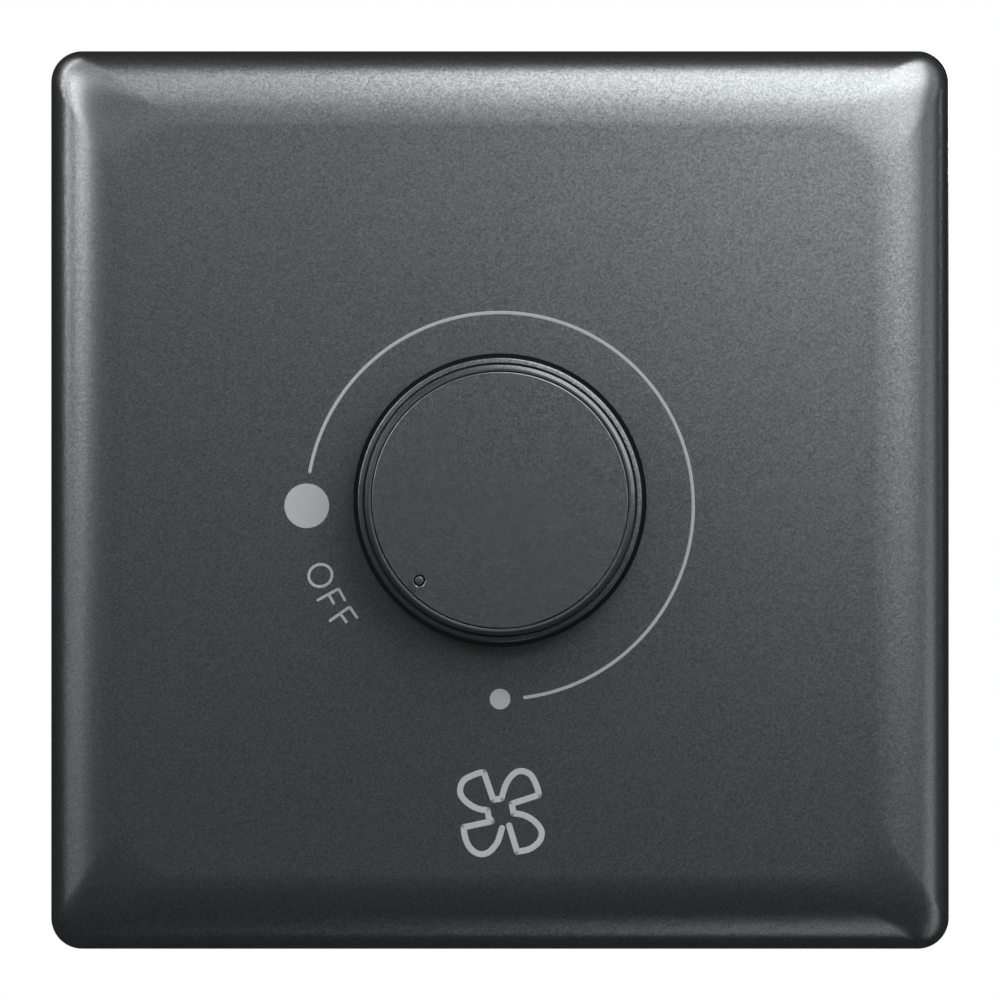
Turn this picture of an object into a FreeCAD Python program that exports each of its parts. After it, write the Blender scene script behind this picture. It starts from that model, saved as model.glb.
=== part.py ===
import FreeCAD, Part
import math
import os

# Fan speed control switch for one wall box: a square plate with rounded front edges, a low round knob
# in its middle, and behind them a moulded module with the speed control, its on-off contact, the
# power electronics and two wire terminals.
# X points right and Z up as seen from the front, and Y points into the wall. The origin is on the
# knob's axis in the plane of the wall, so the plate and knob have negative Y and the module positive Y.
# Clock angles are in degrees, 0 straight up and growing clockwise as seen from the front.
# All sizes are in millimetres.

V = FreeCAD.Vector
TINY = 1e-6

# Face plate
plate_side = 87.0
plate_corner_r = 3.0
plate_depth = 9.0
plate_wall = 2.0
plate_front = 2.2
edge_in = 7.4
edge_back = 3.4
edge_sections = 8
face_corner_r = 6.0
cavity_corner_r = 1.8
cavity_edge = 1.5
aperture_r = 7.2
boss_wall = 1.6
boss_height = 1.3
rib_wall = 1.0
rib_height = 1.0
rib_circle_r = 24.0
pry_notch_width = 10.0
pry_notch_height = 1.2

# Support frame behind the plate; the spacing of its wall fixings is a share of the plate's side
frame_gap = 1.5
frame_corner_r = 4.0
frame_plate = 2.5
frame_rim_wall = 1.4
frame_rim_height = 3.1
frame_rib_wall = 1.2
frame_rib_height = 1.6
locating_gap = 0.2
locating_width = 6.0
locating_height = 2.5
locating_offset = 26.0
fixing_share = 0.6931
fixing_hole_r = 2.1
fixing_slot = 6.2
head_recess_r = 3.8
head_rim_wall = 0.9
head_rim_height = 1.0

# Hooks that hold the plate on the frame
hook_setback = 4.6
hook_z = 22.0
hook_width = 6.0
hook_wall = 1.2
hook_barb = 0.7
hook_play = 0.15
hook_ledge = 1.2
hook_end_gap = 0.3

# Module housing, its width and height as shares of the plate's side
box_width_share = 0.57
box_height_share = 0.61
box_corner_r = 1.2
box_wall = 1.6
box_back = 1.8
box_depth = 26.0
window_gap = 0.3
lid_plate = 2.0
lid_side_lap = 1.5
lid_end_lap = 2.5
register_wall = 1.2
register_depth = 2.0
register_length = 24.0
fit_gap = 0.15
pillar_r = 2.8
pillar_setback = 2.5
pilot_depth = 10.0
vent_width = 1.4
vent_length = 9.0
vent_pitch = 3.4
vent_count = 6
vent_start = 13.0

# Latches of the frame that hold the module
latch_x = 14.0
latch_width = 8.0
latch_wall = 1.3
latch_barb = 0.9
latch_play = 0.1
latch_head = 1.6

# Heat sink and power switch
sink_plate = 1.5
sink_margin = 1.6
sink_tab_width = 18.0
sink_tab_top_gap = 2.3
sink_tab_board_gap = 1.0
power_width = 7.8
power_thick = 2.6
power_board_gap = 1.1
power_hole_r = 1.6
power_hole_from_end = 3.9
power_pad_thick = 0.3
lead_pitch = 2.54
lead_width = 0.8
lead_thick = 0.5

# Speed control: a rotary carbon track with an on-off contact. Its radius is a share of the room in the
# housing, and the radii inside it are shares of its own
control_width_share = 0.52
control_height_share = 0.48
wafer_hole_share = 0.45
collar_share = 0.333
rotor_share = 0.74
wiper_share = 0.6
finger_share = 0.717
key_share = 0.75
control_sheet = 0.8
wafer_thick = 1.6
ear_tab_gap = 0.3
ear_end_gap = 0.8
case_wall = 0.6
switch_base_thick = 1.6
crimp_tab_count = 4
crimp_tab_width = 4.0
crimp_tab_sheet = 0.6
crimp_tab_lap = 2.4
key_width = 2.4
key_reach = 2.4
bush_r = 3.5
bush_flange_gap = 0.4
bush_flange = 0.8
bush_nose = 0.4
nut_sides = 6
nut_flats = 10.0
nut_thick = 2.0
washer_r = 5.8
washer_thick = 0.5
washer_teeth = 8
track_terminal_inset = 1.8

# Shaft, wiper and contact blade
shaft_r = 3.0
shaft_flat = 1.5
running_gap = 0.05
collar_length = 1.6
tail_r = 2.4
tail_flat = 1.8
tail_nose = 0.8
clip_thick = 0.6
clip_r = 4.4
clip_neck_r = 2.4
clip_mouth = 3.2
clip_play = 0.1
rotor_gap = 0.5
rotor_thick = 1.7
wiper_sheet = 0.25
wiper_gap = 0.4
finger_angle = 30.0
finger_width = 24.0
finger_tip_r = 0.5
lug_reach = 2.0
lug_angle = 24.0
stop_clearance = 1.0
peg_inset = 2.3
peg_r = 0.85
peg_end_gap = 0.8
blade_sheet = 0.3
blade_width = 2.6
blade_level = 0.65
blade_gap = 0.15
blade_end_gap = 0.6
contact_inset = 0.8
contact_r = 0.9
fixed_contact_r = 0.72
contact_height = 0.5
contact_gap = 0.6
post_half = 0.6
post_height = 0.8

# Circuit board; its back stands at a share of the housing's depth
board_share = 0.523
board_gap = 0.6
board_thick = 1.6
board_margin = 0.7
board_post_setback = 4.6
board_post_r = 2.4
solder_reach = 0.8
hole_gap = 0.1

# Parts on the board: the side of the board and the distance in from its edge, the place up or down as a
# share of the housing's half height, the room left behind the part, its sizes, and its leads
suppressor = {
    "side": -1, "inset": 8.6, "rise": 0.48, "room": 1.0,
    "width": 13.0, "thick": 6.4, "edge_r": 0.8, "pitch": 10.0, "lead_r": 0.4,
}
timing = {
    "side": 1, "inset": 25.0, "rise": 0.185, "room": 4.0,
    "width": 7.2, "thick": 2.8, "edge_r": 0.35, "pitch": 5.0, "lead_r": 0.3,
}
choke = {
    "side": 1, "inset": 9.0, "rise": 0.505, "room": 1.2,
    "r": 5.2, "core_r": 2.4, "flange": 1.1, "pitch": 6.0, "lead_r": 0.4,
}
fuse = {
    "side": -1, "inset": 8.0, "rise": -0.305, "room": 2.8,
    "r": 4.2, "edge_r": 0.7, "pitch": 5.0, "lead_r": 0.35,
}
resistor = {
    "side": 1, "inset": 13.8, "rises": (0.17, 0.015, -0.14),
    "r": 1.2, "end": 1.28, "waist": 0.2, "slope": 0.2, "length": 6.4, "pitch": 10.0, "lead_r": 0.3,
}
trigger = {
    "side": 1, "inset": 13.8, "rise": -0.28,
    "r": 0.95, "end": 0.7, "waist": 0.1, "slope": 0.1, "length": 4.2, "pitch": 7.6, "lead_r": 0.27,
}
winding_turns = 6

# Wire terminals, their length as a share of the housing's half height
terminal_x = 6.2
terminal_width = 8.0
terminal_share = 0.32
terminal_room = 1.8
terminal_wall_gap = 0.5
wire_bore_r = 2.0
wire_bore_end = 1.2
wire_bore_level = 3.4
wire_entry_r = 2.7
clamp_screw_r = 1.75
clamp_head_r = 2.9
clamp_head = 1.3
clamp_back_off = 0.3
terminal_window_half = 11.4
terminal_window_gap = 0.6
barrier_wall = 1.4

# Knob; its pieces sit inside one another, each with its own groove
knob_r = 14.2
knob_taper = 0.45
knob_gap = 0.4
knob_height = 8.5
knob_wall = 1.7
knob_land = 0.47
knob_land_drop = 0.4
knob_edge_round = 0.2
knob_web = 1.4
knob_seat_depth = 1.9
knob_rib_wall = 1.0
knob_rib_height = 2.4
knob_rib_count = 6
hub_r = 5.0
hub_end_gap = 0.3
hub_slit = 0.8
hub_slit_depth = 4.2
hub_slit_count = 4
bore_gap = 0.03
spring_wall = 0.5
spring_width = 1.6
spring_mouth = 2.0
spring_front = 2.2
ring_groove = 0.17
ring_width = 0.58
ring_round = 0.14
cap_groove = 0.12
cap_bevel = 0.12
cap_face = 1.1
cap_rim_wall = 0.75
cap_peg_inset = 4.4
cap_peg_r = 1.0
cap_peg_length = 2.0
cap_peg_count = 3
pointer_inset = 1.36
pointer_pin_r = 0.47
pointer_round = 0.16
pointer_hole_r = 0.56
pointer_sink = 0.08

# Travel of the knob, from OFF clockwise to the slowest speed
off_angle = 225.0
travel = 315.0

# Fasteners: head radius, head height, shank radius, shank length
housing_screw = (2.3, 1.5, 1.25, 9.0)
board_screw = (2.0, 1.3, 1.1, 6.0)
switch_screw = (2.6, 1.8, 1.48, 4.3)
drive_slot = 0.6
screw_gap = 0.02

# Levels along Y, worked out from the sizes above
face_y = -plate_depth
cavity_y = -(plate_depth - plate_front)
frame_y = -frame_plate
lid_y = frame_y - lid_plate
sink_back_y = frame_y + sink_plate
wafer_front_y = sink_back_y + control_sheet
wafer_back_y = wafer_front_y + wafer_thick
board_back_y = box_depth * board_share
board_y = board_back_y - board_thick
base_back_y = board_y - board_gap - crimp_tab_sheet
case_back_y = base_back_y - switch_base_thick
solder_y = board_back_y + solder_reach
box_inner_back_y = box_depth - box_back
parts_room = box_inner_back_y - board_back_y
nut_front_y = lid_y - washer_thick - nut_thick
bush_front_y = nut_front_y - bush_nose
bush_back_y = wafer_front_y + bush_flange
clip_back_y = bush_front_y - clip_play
clip_front_y = clip_back_y - clip_thick
hub_end_y = clip_front_y - hub_end_gap
knob_base_y = face_y - knob_gap
knob_front_y = knob_base_y - knob_height
knob_seat_y = knob_front_y + knob_seat_depth
knob_web_y = knob_seat_y + knob_web
knob_land_y = knob_front_y + knob_land_drop
bore_end_y = knob_web_y - knob_web / 4
shaft_tip_y = bore_end_y + knob_gap
spring_y = knob_web_y + knob_rib_height + spring_front
collar_y = bush_back_y + clip_play
rotor_y = collar_y + collar_length
rotor_back_y = rotor_y + rotor_thick
wiper_y = rotor_y - wiper_sheet
peg_end_y = case_back_y - peg_end_gap
blade_y = rotor_back_y + (peg_end_y - rotor_back_y) * blade_level
power_front_y = sink_back_y + sink_plate / 2 + fit_gap
power_back_y = board_y - power_board_gap
power_screw_y = power_front_y + power_hole_from_end
terminal_back_y = box_inner_back_y - terminal_room
wire_bore_y = board_back_y + wire_bore_level

# Half sizes and places across X and Z
plate_half = plate_side / 2
cavity_half = plate_half - plate_wall
frame_half = cavity_half - frame_gap
fixing_x = plate_half * fixing_share
box_half_x = plate_half * box_width_share
box_half_z = plate_half * box_height_share
inner_half_x = box_half_x - box_wall
inner_half_z = box_half_z - box_wall
lid_half_x = box_half_x + lid_side_lap
lid_half_z = box_half_z + lid_end_lap
pillar_x = inner_half_x - pillar_setback
pillar_z = inner_half_z - pillar_setback
board_half_x = inner_half_x - board_margin
board_half_z = inner_half_z - board_margin
board_post_x = inner_half_x - board_post_setback
sink_half_x = inner_half_x - sink_margin
sink_half_z = inner_half_z - sink_margin
sink_tab_top = inner_half_z - sink_tab_top_gap
sink_tab_low = sink_tab_top - sink_plate
power_seat_z = sink_tab_low - power_pad_thick
power_lead_z = power_seat_z - power_thick / 2
terminal_length = inner_half_z * terminal_share
terminal_low_z = -inner_half_z + terminal_wall_gap
terminal_z = terminal_low_z + terminal_length / 2

# Radii and places in the speed control
control_r = min(inner_half_x * control_width_share, inner_half_z * control_height_share)
case_inner_r = control_r - case_wall
wafer_hole_r = control_r * wafer_hole_share
bush_flange_r = wafer_hole_r - bush_flange_gap
collar_r = control_r * collar_share
rotor_r = control_r * rotor_share
stop_r = rotor_r + rotor_gap
wiper_inner_r = collar_r + wiper_gap
wiper_outer_r = control_r * wiper_share
finger_reach_r = control_r * finger_share
peg_radius = rotor_r - peg_inset
key_radius = control_r * key_share
wafer_ear_half = (control_r + running_gap - crimp_tab_width / 2) * math.sqrt(0.5) - ear_tab_gap
wafer_ear_z = terminal_low_z + terminal_length + ear_end_gap
track_pin_z = wafer_ear_z + lead_thick * 3 / 2
track_rivet_z = track_pin_z + lead_width
track_terminal_pitch = wafer_ear_half - track_terminal_inset
blade_v = peg_radius + peg_r + blade_gap
blade_half = math.sqrt(case_inner_r**2 - (blade_v + blade_sheet) ** 2) - blade_end_gap
blade_pin_u = -blade_half + post_half * 2
contact_u = blade_half - contact_inset
contact_v = blade_v - contact_height - contact_gap
post_v = contact_v - contact_height / 2

# Radii of the knob's pieces, from the outside in
knob_front_r = knob_r - knob_taper
knob_seat_r = knob_front_r - knob_land
ring_outer_r = knob_seat_r - ring_groove
ring_inner_r = ring_outer_r - ring_width
cap_r = ring_inner_r - cap_groove
cap_peg_circle_r = cap_r - cap_peg_inset
pointer_circle_r = cap_r - pointer_inset

# Places that come in pairs or threes
board_post_places = (-board_post_x, board_post_x)
terminal_places = (-terminal_x, terminal_x)
power_lead_places = (-lead_pitch, 0.0, lead_pitch)
track_terminal_places = (-track_terminal_pitch, 0.0, track_terminal_pitch)

AXIS = {"x": V(1, 0, 0), "y": V(0, 1, 0), "z": V(0, 0, 1)}
RADIAL = {"x": V(0, 0, 1), "y": V(1, 0, 0), "z": V(1, 0, 0)}


def outline(corners, place):
    """Closed wire through corners (a, b) or (a, b, rounding radius); place(a, b) gives each point."""
    points = [place(corner[0], corner[1]) for corner in corners]
    stretches = []
    for i, corner in enumerate(corners):
        point = points[i]
        radius = corner[2] if len(corner) == 3 else 0.0
        if radius == 0.0:
            stretches.append((point, None, point))
            continue
        back = (points[i - 1] - point).normalize()
        ahead = (points[(i + 1) % len(points)] - point).normalize()
        half = back.getAngle(ahead) / 2
        inward = (back + ahead).normalize()
        reach = radius / math.tan(half)
        middle = point + inward * (radius / math.sin(half) - radius)
        stretches.append((point + back * reach, middle, point + ahead * reach))
    edges = []
    for i, (start, middle, end) in enumerate(stretches):
        before = stretches[i - 1][2]
        if before.distanceToPoint(start) > TINY:
            edges.append(Part.LineSegment(before, start).toShape())
        if middle is not None:
            edges.append(Part.Arc(start, middle, end).toShape())
    return Part.Wire(edges)


def through_y(corners, y0, y1):
    """Prism along Y over an outline of (x, z) corners."""
    face = Part.Face(outline(corners, lambda x, z: V(x, y0, z)))
    return face.extrude(V(0, y1 - y0, 0))


def through_x(corners, x0, x1):
    """Prism along X over an outline of (y, z) corners."""
    face = Part.Face(outline(corners, lambda y, z: V(x0, y, z)))
    return face.extrude(V(x1 - x0, 0, 0))


def through_z(corners, z0, z1):
    """Prism along Z over an outline of (x, y) corners."""
    face = Part.Face(outline(corners, lambda x, y: V(x, y, z0)))
    return face.extrude(V(0, 0, z1 - z0))


def turned(corners, axis="y", centre=(0, 0, 0)):
    """Solid of revolution over an outline of (radius, distance along the axis) corners."""
    base = V(*centre)
    face = Part.Face(outline(corners, lambda r, d: base + RADIAL[axis] * r + AXIS[axis] * d))
    return face.revolve(base, AXIS[axis], 360)


def rod(radius, start, end, axis="y", centre=(0, 0, 0)):
    """Cylinder from start to end along an axis through centre."""
    return Part.makeCylinder(radius, end - start, V(*centre) + AXIS[axis] * start, AXIS[axis])


def ring(outer_r, inner_r, start, end, centre=(0, 0, 0)):
    """Flat ring about an axis along Y."""
    return rod(outer_r, start, end, centre=centre).cut(rod(inner_r, start, end, centre=centre))


def block(x, y, z):
    """Box between pairs of limits."""
    return Part.makeBox(x[1] - x[0], y[1] - y[0], z[1] - z[0], V(x[0], y[0], z[0]))


def rectangle(half_x, half_z, corner_r=0.0, x=0.0, z=0.0):
    """Corners of a rectangle about (x, z)."""
    signs = ((-1, -1), (1, -1), (1, 1), (-1, 1))
    return [(x + sx * half_x, z + sz * half_z, corner_r) for sx, sz in signs]


def slot(half_length, radius, x=0.0, z=0.0):
    """Corners of a slot along X with fully rounded ends."""
    return rectangle(half_length, radius, radius, x, z)


def joined(shapes):
    """One solid made of shapes that touch or overlap."""
    return shapes[0].multiFuse(shapes[1:]).removeSplitter()


def at_clock(shape, angle):
    """Copy of a shape, turned clockwise about the knob's axis."""
    copy = shape.copy()
    copy.rotate(V(0, 0, 0), AXIS["y"], angle)
    return copy


def mirrored(shape, axis):
    """Copy of a shape on the other side of the plane across an axis."""
    return shape.mirror(V(0, 0, 0), AXIS[axis])


def four_ways(shape):
    """A shape and its copies across the X and Z planes."""
    pair = [shape, mirrored(shape, "x")]
    return pair + [mirrored(item, "z") for item in pair]


def clock_point(u, v, angle):
    """Where a point at (u across, v outwards) lies after a clockwise turn."""
    turn = math.radians(angle)
    x = u * math.cos(turn) + v * math.sin(turn)
    z = v * math.cos(turn) - u * math.sin(turn)
    return x, z


def sector(inner_r, outer_r, y0, y1, middle_angle, width):
    """Part of a ring about the knob's axis, width degrees wide."""
    corners = [(inner_r, y0), (outer_r, y0), (outer_r, y1), (inner_r, y1)]
    face = Part.Face(outline(corners, lambda r, y: V(0, y, r)))
    piece = face.revolve(V(0, 0, 0), AXIS["y"], width)
    return at_clock(piece, middle_angle - width / 2)


def bent_lead(points, radius):
    """Round wire along straight runs with mitred corners."""
    path = Part.makePolygon([V(*point) for point in points])
    start = V(*points[0])
    along = V(*points[1]) - start
    section = Part.Wire(Part.makeCircle(radius, start, along))
    return path.makePipeShell([section], True, False, 1)


def screw(size, x, z, seat_y):
    """Pan-head screw along Y whose head stands in front of seat_y, with a slot for the driver."""
    head_r, head_height, shank_r, shank_length = size
    corners = [
        (0, seat_y - head_height),
        (head_r, seat_y - head_height, head_height / 2),
        (head_r, seat_y),
        (shank_r, seat_y),
        (shank_r, seat_y + shank_length),
        (0, seat_y + shank_length),
    ]
    body = turned(corners, centre=(x, 0, z))
    drive = block(
        (x - head_r, x + head_r),
        (seat_y - head_height, seat_y - head_height / 2),
        (z - drive_slot / 2, z + drive_slot / 2),
    )
    return body.cut(drive)


def crowned_block(half, corner_r, front_corner_r, across, back, depth):
    """Square block that stands on the wall, its front edge rounded to a quarter of an ellipse."""
    start_y = -(depth - back)
    straight = through_y(rectangle(half, half, corner_r), start_y, 0)
    sections = []
    for step in range(edge_sections + 1):
        turn = math.radians(90.0 * step / edge_sections)
        share = 1 - math.cos(turn)
        side = half - across * share
        radius = corner_r + (front_corner_r - corner_r) * share
        y = start_y - back * math.sin(turn)
        sections.append(outline(rectangle(side, side, radius), lambda x, z, y=y: V(x, y, z)))
    return joined([straight, Part.makeLoft(sections, True, False)])


def cover_hooks():
    """Four sprung legs with barbs that catch behind ledges in the support frame."""
    outer_x = frame_half - hook_setback
    catch_y = frame_y + hook_ledge + hook_play
    corners = [
        (outer_x - hook_wall, cavity_y - plate_front / 2),
        (outer_x, cavity_y - plate_front / 2),
        (outer_x, catch_y),
        (outer_x + hook_barb, catch_y),
        (outer_x, -hook_end_gap),
        (outer_x - hook_wall, -hook_end_gap),
    ]
    leg = through_z(corners, hook_z - hook_width / 2, hook_z + hook_width / 2)
    return four_ways(leg)


def front_cover():
    """Moulded face plate: a hollow crowned square with its knob aperture, ribs and hooks."""
    shell = crowned_block(plate_half, plate_corner_r, face_corner_r, edge_in, edge_back, plate_depth)
    cavity = crowned_block(
        cavity_half,
        cavity_corner_r,
        cavity_corner_r + cavity_edge,
        cavity_edge,
        cavity_edge,
        plate_depth - plate_front,
    )
    shell = shell.cut(cavity)
    root_y = cavity_y - plate_front / 2
    boss = rod(aperture_r + boss_wall, root_y, cavity_y + boss_height)
    circle_rib = ring(rib_circle_r, rib_circle_r - rib_wall, root_y, cavity_y + rib_height)
    rib_half = cavity_half + plate_wall / 2
    rib_y = (root_y, cavity_y + rib_height)
    ribs = [
        block((-rib_half, rib_half), rib_y, (-rib_wall / 2, rib_wall / 2)),
        block((-rib_wall / 2, rib_wall / 2), rib_y, (-rib_half, rib_half)),
    ]
    shell = joined([shell, boss, circle_rib] + ribs + cover_hooks())
    aperture = rod(aperture_r, face_y - plate_front, 0)
    pry_notch = block(
        (-pry_notch_width / 2, pry_notch_width / 2),
        (-pry_notch_height, plate_front),
        (-plate_half - plate_wall, -cavity_half + plate_wall),
    )
    return shell.cut([aperture, pry_notch])


def frame_latches():
    """Four sprung latches at the top and bottom of the module's window."""
    inner_z = lid_half_z + fit_gap
    catch_y = lid_y - latch_play
    corners = [
        (frame_y + frame_plate / 2, inner_z),
        (catch_y, inner_z),
        (catch_y, inner_z - latch_barb),
        (catch_y - latch_head, inner_z + latch_wall / 2),
        (catch_y - latch_head, inner_z + latch_wall),
        (frame_y + frame_plate / 2, inner_z + latch_wall),
    ]
    return four_ways(through_x(corners, latch_x - latch_width / 2, latch_x + latch_width / 2))


def frame_ribs():
    """Short ribs between the frame's rim and its window."""
    top_y = frame_y - frame_rib_height
    y = (top_y, frame_y + frame_plate / 2)
    half = frame_rib_wall / 2
    edge = frame_half - frame_rim_wall / 2
    side_start = lid_half_x + frame_rib_wall
    end_start = lid_half_z + fit_gap + latch_wall / 2
    side_z = (fixing_slot + hook_z) / 2
    side_rib = block((side_start, edge), y, (side_z - half, side_z + half))
    end_rib = block((latch_x - half, latch_x + half), y, (end_start, edge))
    middle_rib = block((-half, half), y, (lid_half_z + frame_rib_wall, edge))
    return four_ways(side_rib) + four_ways(end_rib) + [middle_rib, mirrored(middle_rib, "z")]


def locating_pads():
    """Low pads on the frame's rim that centre the plate with a small gap."""
    reach = cavity_half - locating_gap
    y = (frame_y - locating_height, frame_y)
    span = (locating_offset - locating_width / 2, locating_offset + locating_width / 2)
    depth = (frame_half - frame_rim_wall / 2, reach)
    return four_ways(block(depth, y, span)) + four_ways(block(span, y, depth))


def hook_openings():
    """Passages for the cover's hooks, with room behind the ledges for their barbs."""
    outer_x = frame_half - hook_setback
    flex_x = outer_x - hook_wall - hook_barb - fit_gap
    half = hook_width / 2 + fit_gap * 2
    span = (hook_z - half, hook_z + half)
    rim_y = frame_y - frame_rim_height
    passage = block((flex_x, outer_x + fit_gap), (rim_y, plate_wall), span)
    pocket_x = (flex_x, outer_x + hook_barb + fit_gap * 2)
    pocket = block(pocket_x, (frame_y + hook_ledge, plate_wall), span)
    return four_ways(passage) + four_ways(pocket)


def latch_openings():
    """Openings behind the latches' barbs, through which the mould forms them."""
    x = (latch_x - latch_width / 2, latch_x + latch_width / 2)
    z = (lid_half_z - latch_barb, lid_half_z + fit_gap)
    return four_ways(block(x, (frame_y, plate_wall), z))


def support_frame():
    """Moulded frame that is screwed to the wall box and carries the module and the plate."""
    rim_y = frame_y - frame_rim_height
    head_y = frame_y - head_rim_height
    inner_half = frame_half - frame_rim_wall
    square = rectangle(frame_half, frame_half, frame_corner_r)
    inner_square = rectangle(inner_half, inner_half, frame_corner_r - frame_rim_wall)
    tray = through_y(square, rim_y, 0).cut(through_y(inner_square, rim_y, frame_y))
    half_slot = fixing_slot / 2
    extra = half_slot - fixing_hole_r
    rim_r = head_recess_r + head_rim_wall
    collar = through_y(slot(extra + rim_r, rim_r, fixing_x), head_y, frame_y)
    recess = through_y(slot(extra + head_recess_r, head_recess_r, fixing_x), head_y, frame_y)
    hole = through_y(slot(half_slot, fixing_hole_r, fixing_x), rim_y, plate_wall)
    window_corners = rectangle(box_half_x + window_gap, box_half_z + window_gap, box_corner_r)
    window = through_y(window_corners, rim_y, plate_wall)
    lid_room = through_y(rectangle(lid_half_x + fit_gap, lid_half_z + fit_gap), rim_y, frame_y)
    added = [tray, collar, mirrored(collar, "x")] + frame_latches() + frame_ribs() + locating_pads()
    cuts = [hole, mirrored(hole, "x"), recess, mirrored(recess, "x"), window]
    frame = joined(added).cut(cuts + hook_openings() + latch_openings())
    return joined([frame.cut(lid_room)] + frame_latches())


def housing_lid():
    """Front half of the module: a flanged plate with board posts, register ribs and the bush hole."""
    plate = through_y(rectangle(lid_half_x, lid_half_z, box_corner_r), lid_y, frame_y)
    outer_x = inner_half_x - fit_gap
    outer_z = inner_half_z - fit_gap
    half = register_length / 2
    register_y = (frame_y - lid_plate / 2, frame_y + register_depth)
    side = block((outer_x - register_wall, outer_x), register_y, (-half, half))
    end = block((-half, half), register_y, (-outer_z, -outer_z + register_wall))
    added = [plate, side, mirrored(side, "x"), end, mirrored(end, "z")]
    cuts = [rod(bush_r + fit_gap, lid_y, frame_y), key_slot()]
    for x in board_post_places:
        added.append(rod(board_post_r, lid_y + lid_plate / 2, board_y, centre=(x, 0, 0)))
        cuts.append(rod(board_screw[2] + screw_gap, board_y - board_screw[3], board_y, centre=(x, 0, 0)))
    screw_hole = rod(housing_screw[2] + fit_gap, lid_y, frame_y, centre=(pillar_x, 0, pillar_z))
    return joined(added).cut(cuts + four_ways(screw_hole))


def key_slot():
    """Room in the lid and heat sink for the control's anti-turn key."""
    half = key_width / 2 + fit_gap
    x = (key_radius - control_sheet / 2 - fit_gap, key_radius + control_sheet / 2 + fit_gap)
    return block(x, (frame_y - key_reach, sink_back_y), (-half, half))


def housing_vents():
    """Slots that let warm air out through both side walls."""
    first = -(vent_count - 1) * vent_pitch / 2
    vents = []
    for step in range(vent_count):
        z = first + step * vent_pitch
        corners = [
            (vent_start - vent_length, z - vent_width / 2, vent_width / 2),
            (vent_start, z - vent_width / 2, vent_width / 2),
            (vent_start, z + vent_width / 2, vent_width / 2),
            (vent_start - vent_length, z + vent_width / 2, vent_width / 2),
        ]
        vents.append(through_x(corners, -box_half_x, box_half_x))
    return vents


def rear_housing():
    """Rear half of the module: a deep tray with screw pillars, vents and the terminal openings."""
    outside = through_y(rectangle(box_half_x, box_half_z, box_corner_r), frame_y, box_depth)
    inside = through_y(rectangle(inner_half_x, inner_half_z), frame_y, box_inner_back_y)
    tray = outside.cut([inside] + housing_vents())
    pillar = rod(pillar_r, frame_y, box_inner_back_y + box_back / 2, centre=(pillar_x, 0, pillar_z))
    window_top = -inner_half_z + terminal_length + terminal_window_gap
    barrier = block(
        (-barrier_wall / 2, barrier_wall / 2),
        (board_back_y + terminal_wall_gap, box_depth),
        (-inner_half_z - box_wall / 2, window_top + terminal_wall_gap),
    )
    window = block(
        (-terminal_window_half, terminal_window_half),
        (box_inner_back_y, box_depth),
        (-inner_half_z, window_top),
    )
    tray = joined([tray.cut(window), barrier] + four_ways(pillar)).common(outside)
    pilot_r = housing_screw[2] + screw_gap
    pilot = rod(pilot_r, frame_y, frame_y + pilot_depth, centre=(pillar_x, 0, pillar_z))
    entries = [
        rod(wire_entry_r, -box_half_z, -inner_half_z, "z", (x, wire_bore_y, 0))
        for x in terminal_places
    ]
    return tray.cut(four_ways(pilot) + entries)


def housing_screws():
    """Four screws that close the module from the front."""
    return four_ways(screw(housing_screw, pillar_x, pillar_z, lid_y))


def heat_sink():
    """Aluminium plate behind the lid with a folded tab for the power switch."""
    y = (frame_y, sink_back_y)
    plate = through_y(rectangle(sink_half_x, sink_half_z), frame_y, sink_back_y)
    fold_z = sink_tab_low - sink_plate
    half = sink_tab_width / 2
    tab_end_y = board_y - sink_tab_board_gap
    profile = [
        (frame_y, fold_z),
        (frame_y, sink_tab_top, sink_plate * 3 / 2),
        (tab_end_y, sink_tab_top),
        (tab_end_y, sink_tab_low),
        (sink_back_y, sink_tab_low, sink_plate / 2),
        (sink_back_y, fold_z),
    ]
    tab = through_x(profile, -half, half)
    above = block((-half, half), y, (fold_z, sink_half_z + sink_plate))
    corner_x = pillar_x - pillar_r - fit_gap
    corner_z = pillar_z - pillar_r - fit_gap
    corner = block((corner_x, inner_half_x), y, (corner_z, inner_half_z))
    register_z = inner_half_z - fit_gap * 2 - register_wall
    length = register_length / 2 + fit_gap
    end = block((-length, length), y, (-inner_half_z, -register_z))
    bush_hole = rod(bush_r + fit_gap, frame_y, sink_back_y)
    post_holes = [
        rod(board_post_r + fit_gap, frame_y, sink_back_y, centre=(x, 0, 0))
        for x in board_post_places
    ]
    cuts = four_ways(corner) + [end, bush_hole, key_slot(), above] + post_holes
    sink = joined([plate.cut(cuts), tab])
    thread_r = switch_screw[2] + screw_gap
    return sink.cut(rod(thread_r, sink_tab_low, sink_tab_top, "z", (0, power_screw_y, 0)))


def power_pad():
    """Thin insulating pad between the power switch and the heat sink."""
    half = power_width / 2
    pad = block((-half, half), (power_front_y, power_back_y), (power_seat_z, sink_tab_low))
    return pad.cut(rod(power_hole_r, power_seat_z, sink_tab_low, "z", (0, power_screw_y, 0)))


def power_switch():
    """Moulded power switch with its fixing hole and three leads into the board."""
    half = power_width / 2
    low = power_seat_z - power_thick
    bevel = power_thick / 4
    corners = [
        (-half, power_seat_z),
        (half, power_seat_z),
        (half, low, bevel),
        (-half, low, bevel),
    ]
    body = through_y(corners, power_front_y, power_back_y)
    hole = rod(power_hole_r, low, power_seat_z, "z", (0, power_screw_y, 0))
    leads = [
        block(
            (x - lead_width / 2, x + lead_width / 2),
            (power_back_y - power_thick / 2, solder_y),
            (power_lead_z - lead_thick / 2, power_lead_z + lead_thick / 2),
        )
        for x in power_lead_places
    ]
    return joined([body.cut(hole)] + leads)


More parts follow.
